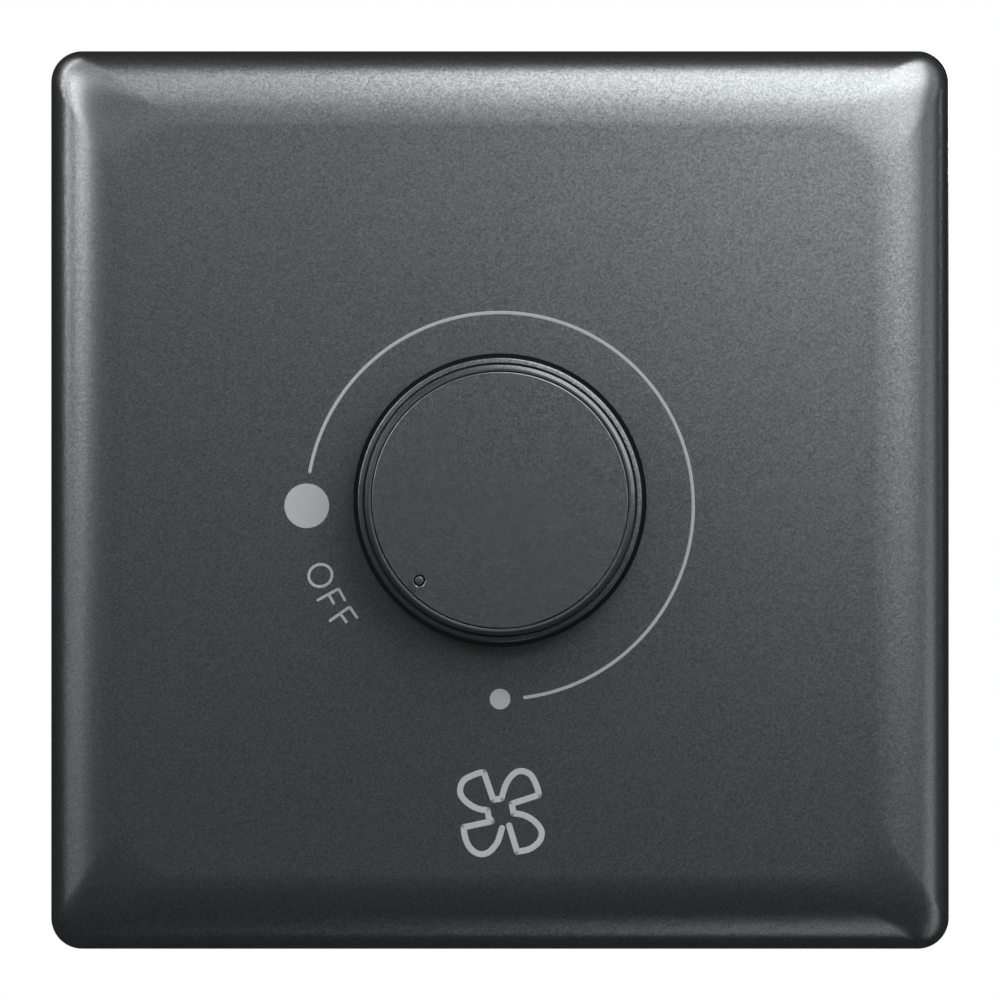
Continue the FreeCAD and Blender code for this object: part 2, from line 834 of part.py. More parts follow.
def power_screw():
    """Screw that clamps the power switch to the heat sink's tab."""
    piece = screw(switch_screw, 0, 0, 0)
    piece.rotate(V(0, 0, 0), AXIS["x"], 90)
    piece.translate(V(0, power_screw_y, power_seat_z - power_thick))
    return piece


def control_plate():
    """Sheet front of the speed control, with four tabs crimped round its base and a key."""
    disc = rod(control_r, sink_back_y, wafer_front_y)
    half = crimp_tab_width / 2
    inner = control_r + running_gap
    outer = inner + crimp_tab_sheet
    end_y = base_back_y + crimp_tab_sheet
    root = block((-half, half), (sink_back_y, wafer_front_y), (control_r - crimp_tab_sheet, outer))
    strip = block((-half, half), (sink_back_y, end_y), (inner, outer))
    fold = block((-half, half), (base_back_y, end_y), (control_r - crimp_tab_lap, outer))
    tab = joined([root, strip, fold])
    step = 360.0 / crimp_tab_count
    tabs = [at_clock(tab, step * (i + 1 / 2)) for i in range(crimp_tab_count)]
    key = block(
        (key_radius - control_sheet / 2, key_radius + control_sheet / 2),
        (frame_y - key_reach + fit_gap * 3, wafer_front_y),
        (-key_width / 2, key_width / 2),
    )
    return joined([disc, key] + tabs).cut(rod(bush_r + screw_gap, sink_back_y, wafer_front_y))


def control_bush():
    """Turned brass bush that the shaft runs in."""
    bore = shaft_r + running_gap
    chamfer = bush_nose / 2
    corners = [
        (bore, bush_front_y),
        (bush_r - chamfer, bush_front_y),
        (bush_r, bush_front_y + chamfer),
        (bush_r, wafer_front_y),
        (bush_flange_r, wafer_front_y),
        (bush_flange_r, bush_back_y),
        (bore, bush_back_y),
    ]
    return turned(corners)


def bush_nut():
    """Hexagonal nut on the bush, in front of the lid, its front corners chamfered by a cone."""
    step = 360.0 / nut_sides
    corner_r = nut_flats / 2 / math.cos(math.radians(step / 2))
    back_y = nut_front_y + nut_thick
    corners = [clock_point(0, corner_r, step * i) for i in range(nut_sides)]
    cone = [(0, nut_front_y), (nut_flats / 2, nut_front_y), (corner_r + nut_thick, back_y), (0, back_y)]
    nut = through_y(corners, nut_front_y, back_y).common(turned(cone))
    return nut.cut(rod(bush_r + screw_gap, nut_front_y, back_y))


def bush_washer():
    """Shakeproof washer with teeth round its edge."""
    front_y = lid_y - washer_thick
    washer = ring(washer_r, bush_r + fit_gap, front_y, lid_y)
    half = washer_thick
    notch = block((-half, half), (front_y, lid_y), (washer_r - washer_thick * 2, washer_r * 2))
    return washer.cut([at_clock(notch, 360.0 / washer_teeth * i) for i in range(washer_teeth)])


def track_wafer():
    """Laminate disc that carries the carbon track, with an ear for the terminals."""
    disc = rod(control_r, wafer_front_y, wafer_back_y)
    ear = block((-wafer_ear_half, wafer_ear_half), (wafer_front_y, wafer_back_y), (wafer_ear_z, 0))
    hole = rod(wafer_hole_r, wafer_front_y, wafer_back_y)
    rivet_holes = [
        rod(lead_thick + screw_gap, wafer_front_y, wafer_back_y, centre=(x, 0, track_rivet_z))
        for x in track_terminal_places
    ]
    return joined([disc, ear]).cut([hole] + rivet_holes)


def track_terminals():
    """Three riveted strips that fold back into the board."""
    low = track_pin_z - lead_thick / 2
    foot_back_y = wafer_back_y + lead_thick
    rivet_y = (wafer_front_y - lead_thick / 2, wafer_back_y + lead_thick / 2)
    terminals = []
    for x in track_terminal_places:
        foot_x = (x - lead_width, x + lead_width)
        pin_x = (x - lead_width / 2, x + lead_width / 2)
        centre = (x, 0, track_rivet_z)
        terminals.append(joined([
            block(foot_x, (wafer_back_y, foot_back_y), (low, track_rivet_z + lead_width)),
            block(pin_x, (wafer_back_y, solder_y), (low, low + lead_thick)),
            rod(lead_thick, rivet_y[0], rivet_y[1], centre=centre),
            rod(lead_width, wafer_front_y - lead_thick, wafer_front_y, centre=centre),
        ]))
    return terminals


def control_case():
    """Drawn tube round the wiper and contact, with the stop that ends the knob's travel."""
    tube = ring(control_r, case_inner_r, wafer_back_y, case_back_y)
    gap = 360.0 - travel
    stop_width = gap - lug_angle - 2 * stop_clearance
    root_r = case_inner_r + case_wall / 2
    stop = sector(stop_r, root_r, rotor_y, rotor_back_y, off_angle - gap / 2, stop_width)
    return joined([tube, stop])


def switch_pins():
    """Places of the blade's pin and the fixed contact's pin."""
    blade_pin = clock_point(blade_pin_u, blade_v + blade_sheet / 2, off_angle)
    fixed_pin = clock_point(contact_u, post_v - post_height / 2, off_angle)
    return (blade_pin, fixed_pin)


def switch_base():
    """Laminate disc that closes the control and holds the contacts."""
    disc = rod(control_r, case_back_y, base_back_y)
    holes = [
        rod(post_half + hole_gap, case_back_y, base_back_y, centre=(x, 0, z))
        for x, z in switch_pins()
    ]
    return disc.cut(holes)


def switch_blade():
    """Sprung bronze blade, held open by the wiper carrier's peg at OFF."""
    y = (blade_y - blade_width / 2, blade_y + blade_width / 2)
    v = (blade_v, blade_v + blade_sheet)
    strip = block((-blade_half, blade_half), y, v)
    tail = block((-blade_half, blade_pin_u + post_half), (blade_y, case_back_y), v)
    pin = block((blade_pin_u - post_half / 2, blade_pin_u + post_half / 2), (blade_y, solder_y), v)
    button_v = (blade_v - contact_height, blade_v + blade_sheet / 2)
    button = rod(contact_r, button_v[0], button_v[1], "z", (contact_u, blade_y, 0))
    return at_clock(joined([strip, tail, pin, button]), off_angle)


def fixed_contact():
    """Post with the contact that the blade springs on to when the knob leaves OFF."""
    u = (contact_u - post_half, contact_u + post_half)
    post = block(u, (blade_y - contact_r, case_back_y), (post_v - post_height, post_v))
    pin_u = (contact_u - post_half / 2, contact_u + post_half / 2)
    pin_v = (post_v - post_height * 3 / 4, post_v - post_height / 4)
    pin = block(pin_u, (blade_y, solder_y), pin_v)
    button = rod(fixed_contact_r, post_v - post_height / 2, contact_v, "z", (contact_u, blade_y, 0))
    return at_clock(joined([post, pin, button]), off_angle)


def shaft_flats():
    """Two flats on the shaft's tail, as the space outside them."""
    reach = tail_r * 2
    y = (rotor_y, rotor_back_y + tail_nose)
    upper = block((-reach, reach), y, (tail_flat, reach))
    return [upper, mirrored(upper, "z")]


def control_shaft():
    """Turned shaft with a D end for the knob, a clip groove, a collar and a flatted tail."""
    end_y = rotor_back_y + tail_nose
    corners = [
        (0, shaft_tip_y),
        (shaft_r - knob_gap, shaft_tip_y),
        (shaft_r, shaft_tip_y + knob_gap),
        (shaft_r, clip_front_y),
        (clip_neck_r, clip_front_y),
        (clip_neck_r, clip_back_y),
        (shaft_r, clip_back_y),
        (shaft_r, collar_y),
        (collar_r, collar_y),
        (collar_r, rotor_y),
        (tail_r, rotor_y),
        (tail_r, end_y),
        (0, end_y),
    ]
    reach = shaft_r * 2
    flat = block((-reach, reach), (shaft_tip_y, clip_front_y), (shaft_flat, reach))
    return at_clock(turned(corners).cut([flat] + shaft_flats()), off_angle)


def shaft_clip():
    """Open retaining clip in the shaft's groove, in front of the bush."""
    clip = ring(clip_r, clip_neck_r + screw_gap, clip_front_y, clip_back_y)
    mouth = block((-clip_mouth / 2, clip_mouth / 2), (clip_front_y, clip_back_y), (0, clip_r * 2))
    return at_clock(clip.cut(mouth), off_angle)


def wiper_carrier():
    """Moulded rotor with the stop lug and the peg that works the contact blade."""
    disc = rod(rotor_r, rotor_y, rotor_back_y)
    lug = sector(rotor_r / 2, rotor_r + lug_reach / 2, rotor_y, rotor_back_y, 0, lug_angle)
    peg = rod(peg_r, rotor_back_y - rotor_thick / 2, peg_end_y, centre=(0, 0, peg_radius))
    flat = tail_flat + screw_gap
    flat_limit = block((-rotor_r, rotor_r), (rotor_y, rotor_back_y), (-flat, flat))
    bore = rod(tail_r + screw_gap, rotor_y, rotor_back_y).common(flat_limit)
    return at_clock(joined([disc, lug, peg]).cut(bore), off_angle)


def wiper_spring():
    """Bronze spring ring with two fingers that press on the track."""
    pieces = [ring(wiper_outer_r, wiper_inner_r, wiper_y, rotor_y)]
    tip_y = wafer_back_y + running_gap
    tip = [(0, tip_y), (finger_tip_r, tip_y, finger_tip_r / 2), (finger_tip_r, rotor_y), (0, rotor_y)]
    tip_circle_r = finger_reach_r - finger_tip_r * 3 / 2
    for angle in (-finger_angle, finger_angle):
        start_r = wiper_outer_r - wiper_sheet
        pieces.append(sector(start_r, finger_reach_r, wiper_y, rotor_y, angle, finger_width))
        x, z = clock_point(0, tip_circle_r, angle)
        pieces.append(turned(tip, centre=(x, 0, z)))
    return at_clock(joined(pieces), off_angle)


def place_x(item):
    """X of the middle of a part on the board."""
    return item["side"] * (board_half_x - item["inset"])


def pair_of_leads(item, rise):
    """Places and radius of two leads, side by side about an item."""
    x = place_x(item)
    return [(x + side * item["pitch"] / 2, inner_half_z * rise, item["lead_r"]) for side in (-1, 1)]


def straight_leads(item):
    """Two leads of an upright item, from inside it through the board."""
    return [
        rod(r, board_y - solder_reach / 2, board_back_y + solder_reach, centre=(x, 0, z))
        for x, z, r in pair_of_leads(item, item["rise"])
    ]


def lead_places():
    """Every hole in the board: x, z and the radius that passes through it."""
    places = []
    for item in (suppressor, timing, choke, fuse, trigger):
        places += pair_of_leads(item, item["rise"])
    for rise in resistor["rises"]:
        places += pair_of_leads(resistor, rise)
    places += [(x, power_lead_z, lead_width / 2 + hole_gap) for x in power_lead_places]
    places += [(x, track_pin_z, lead_width / 2 + hole_gap) for x in track_terminal_places]
    places += [(x, z, post_half) for x, z in switch_pins()]
    places += [(x, 0, board_screw[2]) for x in board_post_places]
    places += [(x, terminal_z, lead_thick) for x in terminal_pin_places()]
    return places


def circuit_board():
    """Board with notches for the pillars and a hole for every lead."""
    y = (board_y, board_back_y)
    board = through_y(rectangle(board_half_x, board_half_z), board_y, board_back_y)
    corner_x = pillar_x - pillar_r - fit_gap
    corner_z = pillar_z - pillar_r - fit_gap
    corner = block((corner_x, inner_half_x), y, (corner_z, inner_half_z))
    holes = [rod(r + hole_gap, board_y, board_back_y, centre=(x, 0, z)) for x, z, r in lead_places()]
    return board.cut(four_ways(corner) + holes)


def board_screws():
    """Two screws that hold the board on the lid's posts, driven from behind."""
    front = screw(board_screw, board_post_x, 0, -board_back_y)
    back = mirrored(front, "y")
    return [back, mirrored(back, "x")]


def box_capacitor(item):
    """Moulded box with rounded edges and two straight leads."""
    back_y = board_back_y + parts_room - item["room"]
    centre = (place_x(item), inner_half_z * item["rise"])
    corners = rectangle(item["width"] / 2, item["thick"] / 2, item["edge_r"], centre[0], centre[1])
    return joined([through_y(corners, board_back_y, back_y)] + straight_leads(item))


def suppression_capacitor():
    """The large box capacitor that keeps interference off the line."""
    return box_capacitor(suppressor)


def timing_capacitor():
    """The small box capacitor that times the power switch."""
    return box_capacitor(timing)


def choke_core():
    """Drum core that stands on the board on two leads."""
    base = board_back_y
    top = board_back_y + parts_room - choke["room"]
    r = choke["r"]
    core_r = choke["core_r"]
    flange = choke["flange"]
    corners = [
        (0, base),
        (r, base),
        (r, base + flange),
        (core_r, base + flange),
        (core_r, top - flange),
        (r, top - flange),
        (r, top),
        (0, top),
    ]
    core = turned(corners, centre=(place_x(choke), 0, inner_half_z * choke["rise"]))
    return joined([core] + straight_leads(choke))


def choke_winding():
    """Wire wound on the drum core, its outer layer shown turn by turn."""
    start = board_back_y + choke["flange"] + screw_gap
    end = board_back_y + parts_room - choke["room"] - choke["flange"] - screw_gap
    wire_r = (end - start) / winding_turns / 2
    outer_r = choke["r"] - wire_r * 2
    inner_r = choke["core_r"] + screw_gap
    base = V(place_x(choke), 0, inner_half_z * choke["rise"])

    def at(radius, y):
        return base + V(radius, y, 0)

    edges = [
        Part.LineSegment(at(inner_r, end), at(inner_r, start)).toShape(),
        Part.LineSegment(at(inner_r, start), at(outer_r, start)).toShape(),
    ]
    for turn in range(winding_turns):
        low = start + turn * wire_r * 2
        crest = at(outer_r + wire_r, low + wire_r)
        edges.append(Part.Arc(at(outer_r, low), crest, at(outer_r, low + wire_r * 2)).toShape())
    edges.append(Part.LineSegment(at(outer_r, end), at(inner_r, end)).toShape())
    return Part.Face(Part.Wire(edges)).revolve(base, AXIS["y"], 360)


def fuse_link():
    """Upright round fuse link with two leads."""
    top = board_back_y + parts_room - fuse["room"]
    corners = [(0, board_back_y), (fuse["r"], board_back_y), (fuse["r"], top, fuse["edge_r"]), (0, top)]
    body = turned(corners, centre=(place_x(fuse), 0, inner_half_z * fuse["rise"]))
    return joined([body] + straight_leads(fuse))


def axial_part(item, rise):
    """Lying body, a little thinner in the middle, on two leads that bend down into the board."""
    half = item["length"] / 2
    r = item["r"]
    waist_r = r - item["waist"]
    neck = half - item["end"]
    level = board_back_y + r
    z = inner_half_z * rise
    corners = [
        (0, -half),
        (r, -half, r / 2),
        (r, -neck),
        (waist_r, -neck + item["slope"]),
        (waist_r, neck - item["slope"]),
        (r, neck),
        (r, half, r / 2),
        (0, half),
    ]
    pieces = [turned(corners, "x", (place_x(item), level, z))]
    for side in (-1, 1):
        inner_x = place_x(item) + side * (half - r / 2)
        outer_x = place_x(item) + side * item["pitch"] / 2
        points = [(inner_x, level, z), (outer_x, level, z), (outer_x, board_y - solder_reach / 2, z)]
        pieces.append(bent_lead(points, item["lead_r"]))
    return joined(pieces)


def resistors():
    """Three resistors side by side."""
    return [axial_part(resistor, rise) for rise in resistor["rises"]]


def trigger_diode():
    """Small glass-bodied trigger diode."""
    return axial_part(trigger, trigger["rise"])


def terminal_pin_places():
    """X of the wire terminals' solder pins."""
    reach = terminal_width / 4
    return [x + side * reach for x in terminal_places for side in (-1, 1)]


def terminal_clamps():
    """Two brass blocks, each with a blind wire bore from below and a clamp screw's thread."""
    bore_length = terminal_length - wire_bore_end
    clamps = []
    for x in terminal_places:
        corners = rectangle(terminal_width / 2, terminal_length / 2, lead_thick, x, terminal_z)
        body = through_y(corners, board_back_y, terminal_back_y)
        bore = rod(wire_bore_r, terminal_low_z, terminal_low_z + bore_length, "z", (x, wire_bore_y, 0))
        thread_r = clamp_screw_r + screw_gap
        thread = rod(thread_r, wire_bore_y, terminal_back_y, centre=(x, 0, terminal_z))
        pin_y = (board_y - solder_reach / 2, board_back_y + lead_thick)
        pins = [
            rod(lead_thick, pin_y[0], pin_y[1], centre=(pin_x, 0, terminal_z))
            for pin_x in terminal_pin_places()
            if abs(pin_x - x) < terminal_width / 2
        ]
        clamps.append(joined([body.cut([bore, thread])] + pins))
    return clamps


def terminal_screws():
    """Two clamp screws, backed off so that a wire can go in."""
    tip_y = wire_bore_y + wire_bore_r + clamp_back_off
    seat_y = terminal_back_y + clamp_back_off
    size = (clamp_head_r, clamp_head, clamp_screw_r, seat_y - tip_y)
    return [mirrored(screw(size, x, terminal_z, -seat_y), "y") for x in terminal_places]


def d_bore():
    """Space of the hub's D bore."""
    bore = rod(shaft_r + bore_gap, bore_end_y, hub_end_y)
    limit = block((-hub_r, hub_r), (bore_end_y, hub_end_y), (-hub_r, shaft_flat + bore_gap))
    return bore.common(limit)


def cap_peg_places():
    """Places of the cap's pegs, between the barrel's ribs."""
    step = 360.0 / cap_peg_count
    return [clock_point(0, cap_peg_circle_r, step * (i + 1 / 4)) for i in range(cap_peg_count)]


def knob_barrel():
    """Moulded body of the knob: a tapered cup with a web, hub, ribs and a seat for its front pieces."""
    inner_r = knob_r - knob_wall
    inner_front_r = knob_front_r - knob_wall
    shell = turned([
        (0, knob_seat_y),
        (knob_seat_r, knob_seat_y),
        (knob_seat_r, knob_land_y),
        (knob_front_r, knob_land_y, knob_edge_round),
        (knob_r, knob_base_y, knob_edge_round),
        (inner_r, knob_base_y),
        (inner_front_r, knob_web_y),
        (0, knob_web_y),
    ])
    root_y = knob_web_y - knob_web / 2
    hub = rod(hub_r, root_y, hub_end_y)
    rib_x = (-knob_rib_wall / 2, knob_rib_wall / 2)
    rib = block(rib_x, (root_y, knob_web_y + knob_rib_height), (hub_r / 2, inner_front_r + knob_wall / 2))
    step = 360.0 / knob_rib_count
    barrel = joined([shell, hub] + [at_clock(rib, step * i) for i in range(knob_rib_count)])
    hub_outside_r = hub_r + spring_wall
    slit_y = (hub_end_y - hub_slit_depth, hub_end_y)
    slit = block((-hub_slit / 2, hub_slit / 2), slit_y, (0, hub_outside_r))
    slits = [at_clock(slit, step / 4 + 360.0 / hub_slit_count * i) for i in range(hub_slit_count)]
    groove = ring(hub_outside_r, hub_r - spring_wall / 2, spring_y, spring_y + spring_width)
    holes = [
        rod(cap_peg_r + screw_gap, knob_seat_y, knob_web_y, centre=(x, 0, z))
        for x, z in cap_peg_places()
    ]
    pin_centre = (0, 0, pointer_circle_r)
    pin_hole = rod(pointer_pin_r + screw_gap, knob_seat_y, root_y, centre=pin_centre)
    return at_clock(barrel.cut(slits + holes + [d_bore(), groove, pin_hole]), off_angle)


def knob_spring():
    """Open spring ring that squeezes the hub on to the shaft."""
    end_y = spring_y + spring_width
    inner_r = hub_r - spring_wall / 2 + screw_gap
    spring = ring(inner_r + spring_wall, inner_r, spring_y, end_y)
    mouth = block((-spring_mouth / 2, spring_mouth / 2), (spring_y, end_y), (0, hub_r * 2))
    return at_clock(spring.cut(mouth), off_angle)


def knob_ring():
    """Narrow trim ring round the cap."""
    corners = [
        (ring_inner_r, knob_seat_y),
        (ring_outer_r, knob_seat_y),
        (ring_outer_r, knob_front_y, ring_round),
        (ring_inner_r, knob_front_y),
    ]
    return turned(corners)


def knob_cap():
    """Flat front of the knob: a shallow cup with a bevelled edge, pegs and the pointer's hole."""
    rim_inner_r = cap_r - cap_rim_wall
    back_y = knob_front_y + cap_face
    cup = turned([
        (0, knob_front_y),
        (cap_r - cap_bevel, knob_front_y),
        (cap_r, knob_front_y + cap_bevel),
        (cap_r, knob_seat_y),
        (rim_inner_r, knob_seat_y),
        (rim_inner_r, back_y),
        (0, back_y),
    ])
    pegs = [
        rod(cap_peg_r, back_y - cap_face / 2, back_y + cap_peg_length, centre=(x, 0, z))
        for x, z in cap_peg_places()
    ]
    hole = rod(pointer_hole_r, knob_front_y, knob_seat_y, centre=(0, 0, pointer_circle_r))
    return at_clock(joined([cup] + pegs).cut(hole), off_angle)


def pointer_pin():
    """Small pin in the knob's face that points at the dial."""
    front = knob_front_y + pointer_sink
    back = knob_seat_y + knob_web / 2
    corners = [(0, front), (pointer_pin_r, front, pointer_round), (pointer_pin_r, back), (0, back)]
    return at_clock(turned(corners, centre=(0, 0, pointer_circle_r)), off_angle)


PIECES = (
    front_cover,
    support_frame,
    housing_lid,
    rear_housing,
    housing_screws,
    heat_sink,
    power_switch,
    power_pad,
    power_screw,
    circuit_board,
    board_screws,
    terminal_clamps,
    terminal_screws,
    suppression_capacitor,
    timing_capacitor,
    choke_core,
    choke_winding,
    fuse_link,
    resistors,
    trigger_diode,
    control_plate,
    control_bush,
    bush_nut,
    bush_washer,
    track_wafer,
    track_terminals,
    control_case,
    switch_base,
    switch_blade,
    fixed_contact,
    control_shaft,
    shaft_clip,
    wiper_carrier,
    wiper_spring,
    knob_barrel,
    knob_spring,
    knob_ring,
    knob_cap,
    pointer_pin,
)


def main():
    """Build each piece, check that it is valid and write its STEP file."""
    os.makedirs("parts", exist_ok=True)
    for build in PIECES:
        name = build.__name__
        made = build()
        shape = Part.makeCompound(made) if isinstance(made, list) else made
        if not shape.isValid():
            raise ValueError(f"{name} isn't a valid shape")
        shape.exportStep(f"parts/{name}.step")
        print(f"{name}: {len(shape.Solids)} solids, {shape.Volume:.1f} mm3")


main()
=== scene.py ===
import math

import bmesh
import bpy
from bpy.props import FloatProperty, IntProperty, PointerProperty, StringProperty
from mathutils import Matrix, Vector


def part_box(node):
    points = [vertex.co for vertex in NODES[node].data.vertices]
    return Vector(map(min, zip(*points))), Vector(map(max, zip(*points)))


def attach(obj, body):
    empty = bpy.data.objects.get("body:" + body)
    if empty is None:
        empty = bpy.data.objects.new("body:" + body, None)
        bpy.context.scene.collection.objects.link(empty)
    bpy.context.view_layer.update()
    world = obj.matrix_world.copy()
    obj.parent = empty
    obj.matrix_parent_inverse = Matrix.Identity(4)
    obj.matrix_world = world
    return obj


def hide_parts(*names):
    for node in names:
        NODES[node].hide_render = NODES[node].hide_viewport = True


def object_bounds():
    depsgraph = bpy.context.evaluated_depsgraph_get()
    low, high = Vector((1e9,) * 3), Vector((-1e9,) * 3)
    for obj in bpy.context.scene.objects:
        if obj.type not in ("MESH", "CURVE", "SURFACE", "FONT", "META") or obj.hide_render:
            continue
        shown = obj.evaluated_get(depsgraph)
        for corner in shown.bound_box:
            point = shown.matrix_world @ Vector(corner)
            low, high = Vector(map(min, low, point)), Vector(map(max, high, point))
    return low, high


bl_info = {
    "name": "Fan Speed Control Switch",
    "version": (1, 0, 0),
    "blender": (4, 5, 0),
    "location": "View3D > Sidebar > Fan Control",
    "description": "Dresses the packed model of a wall plate with a rotary fan speed control",
    "category": "Object",
}

MM = 0.001
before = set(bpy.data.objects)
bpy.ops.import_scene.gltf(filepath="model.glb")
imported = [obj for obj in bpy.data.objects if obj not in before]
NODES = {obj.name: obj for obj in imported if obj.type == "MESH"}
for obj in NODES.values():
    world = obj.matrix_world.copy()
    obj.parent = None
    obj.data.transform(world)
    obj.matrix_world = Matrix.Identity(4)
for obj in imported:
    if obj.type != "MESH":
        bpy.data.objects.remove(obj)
cad_low, cad_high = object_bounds()
cover_low, cover_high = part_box("front_cover")
barrel_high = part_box("knob_barrel")[1]
cap_low, cap_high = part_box("knob_cap")
ring_low, ring_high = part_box("knob_ring")
PLATE_HALF = cover_high.x
FACE_Y = cover_low.y
# The knob's rear rim stands a little in front of the plate
KNOB_BASE_Y = FACE_Y - 0.4 * MM
FIXED_BODY = "switch"
KNOB_BODY = "knob"
# Where the pointer stands at rest, in degrees clockwise from the top
OFF_ANGLE = 225.0
# Real flecks are about 0.03 mm wide; they are drawn this wide so that they show
FLECK = 0.12 * MM
# The knob's two sprays: one for its broad faces and a smoother one for its trim
BODY_SPRAY = dict(flake=FLECK, rough=0.27, tilt=0.04, depth=0.2)
TRIM_SPRAY = dict(flake=FLECK, rough=0.26, tilt=0.03, depth=0.08)
# Edges bent more than this stay sharp
SHARP_ANGLE = math.radians(32.0)
# Points closer than this are one
WELD = 1e-8


# Lines of the fan sign in mm from its middle: each blade is a straight edge, then a curve from its tip
SIGN_BLADES = (
    (((-0.64, 1.21), (-1.56, 3.86)), (
        (-1.56, 3.86), (-2.15, 3.77), (-3.27, 3.27), (-3.71, 2.75), (-3.86, 2.10), (-3.71, 1.54),
        (-3.27, 1.02), (-2.58, 0.54), (-1.89, 0.28), (-1.20, 0.20))),
    (((1.14, 0.83), (3.74, 1.67)), (
        (3.74, 1.67), (3.67, 2.14), (3.43, 2.83), (3.04, 3.53), (2.57, 3.87), (2.00, 3.99), (1.49, 3.83),
        (0.97, 3.35), (0.53, 2.58), (0.14, 1.32))),
    (((0.88, -1.28), (1.66, -3.81)), (
        (1.66, -3.81), (2.70, -3.61), (3.39, -3.22), (3.86, -2.70), (4.04, -2.05), (3.86, -1.49),
        (3.39, -0.93), (2.70, -0.45), (2.00, -0.19), (1.31, -0.11))),
    (((-0.81, -0.87), (-3.51, -1.45)), (
        (-3.51, -1.45), (-3.47, -1.92), (-3.32, -2.62), (-2.97, -3.35), (-2.41, -3.87), (-1.80, -4.05),
        (-1.20, -3.92), (-0.68, -3.48), (-0.20, -2.79), (0.19, -1.54))),
)
SIGN_LINKS = (
    ((-0.64, 1.21), (0.14, 1.32)),
    ((1.14, 0.83), (1.31, -0.11)),
    ((-0.81, -0.87), (-1.11, -0.45), (-1.20, 0.20)),
)


# Sizes and colours that a user would change

LENGTH = dict(unit="LENGTH", precision=5)
FINE_LENGTH = dict(unit="LENGTH", precision=6)


class CoverSettings(bpy.types.PropertyGroup):
    corner_radius: FloatProperty(
        name="Corner radius", description="Radius of the plate's outline at its corners",
        default=3.0 * MM, **LENGTH)
    face_corner_radius: FloatProperty(
        name="Face corner radius", description="Radius of the flat face at its corners",
        default=6.0 * MM, **LENGTH)
    edge_in: FloatProperty(
        name="Edge width", description="Width of the rounded front edge, seen from the front",
        default=7.4 * MM, **LENGTH)
    edge_back: FloatProperty(
        name="Edge depth", description="Depth of the rounded front edge",
        default=3.4 * MM, **LENGTH)
    wall: FloatProperty(
        name="Side wall", description="Thickness of the plate's side walls",
        default=2.0 * MM, **LENGTH)
    front: FloatProperty(
        name="Front wall", description="Thickness of the plate's front",
        default=2.2 * MM, **LENGTH)
    aperture_radius: FloatProperty(
        name="Aperture radius", description="Radius of the hole behind the knob",
        default=7.2 * MM, **LENGTH)
    colour: StringProperty(
        name="Paint colour", description="sRGB hex value of the metallic paint", default="#8b8e90")
    flake: FloatProperty(
        name="Flake size", description="Width of one visible fleck of the paint",
        default=FLECK, **FINE_LENGTH)


class KnobSettings(bpy.types.PropertyGroup):
    segments: IntProperty(
        name="Segments", description="Faces round the knob", default=240, min=48, max=512)
    edge_round: FloatProperty(
        name="Edge rounding", description="Radius of the knob's front edge",
        default=0.15 * MM, **LENGTH)
    pointer_radius: FloatProperty(
        name="Pointer distance", description="Distance of the pointer's pin from the knob's axis",
        default=10.97 * MM, **LENGTH)
    pointer_hole: FloatProperty(
        name="Pointer hole radius", description="Radius of the hole that the pin stands in",
        default=0.56 * MM, **LENGTH)
    pin_radius: FloatProperty(
        name="Pin radius", description="Radius of the pin's end, which stands free in its hole",
        default=0.41 * MM, **LENGTH)
    face_radius: FloatProperty(
        name="Face radius", description="Radius of the knob's flat cap",
        default=12.35 * MM, **LENGTH)
    ring_in: FloatProperty(
        name="Ring inner radius", description="Inner radius of the trim ring",
        default=12.43 * MM, **LENGTH)
    ring_crest: FloatProperty(
        name="Ring crest radius", description="Radius at which the trim ring's front starts to slope",
        default=12.67 * MM, **LENGTH)
    ring_out: FloatProperty(
        name="Ring outer radius", description="Outer radius of the trim ring",
        default=12.99 * MM, **LENGTH)
    ring_slope: FloatProperty(
        name="Ring slope", description="How far the trim ring's front falls back at its outer edge",
        default=0.06 * MM, **FINE_LENGTH)
    land_in: FloatProperty(
        name="Land inner radius", description="Inner radius of the body's narrow front",
        default=13.23 * MM, **LENGTH)
    land_out: FloatProperty(
        name="Land outer radius", description="Outer radius of the body's narrow front",
        default=13.69 * MM, **LENGTH)
    land_slope: FloatProperty(
        name="Land slope", description="How far the body's front falls back at its outer edge",
        default=0.03 * MM, **FINE_LENGTH)
    land_sink: FloatProperty(
        name="Land step", description="How far the body's narrow front lies behind the trim ring's",
        default=0.8 * MM, **LENGTH)
    colour: StringProperty(
        name="Knob colour", description="sRGB hex value of the knob's satin paint", default="#8d9093")
    slope_colour: StringProperty(
        name="Slope colour", description="sRGB hex value of the paint on the trim ring's sloping band",
        default="#75787a")
    land_colour: StringProperty(
        name="Land colour", description="sRGB hex value of the paint on the body's narrow front",
        default="#838688")
    # Black for the knob's faces that turn away from the front: unsprayed plastic, and also painted shade in
    # its grooves and on its side, seen as a dark ring
    bare_and_shade: StringProperty(
        name="Bare colour", description="sRGB hex value of the knob's unsprayed black plastic",
        default="#18191a")


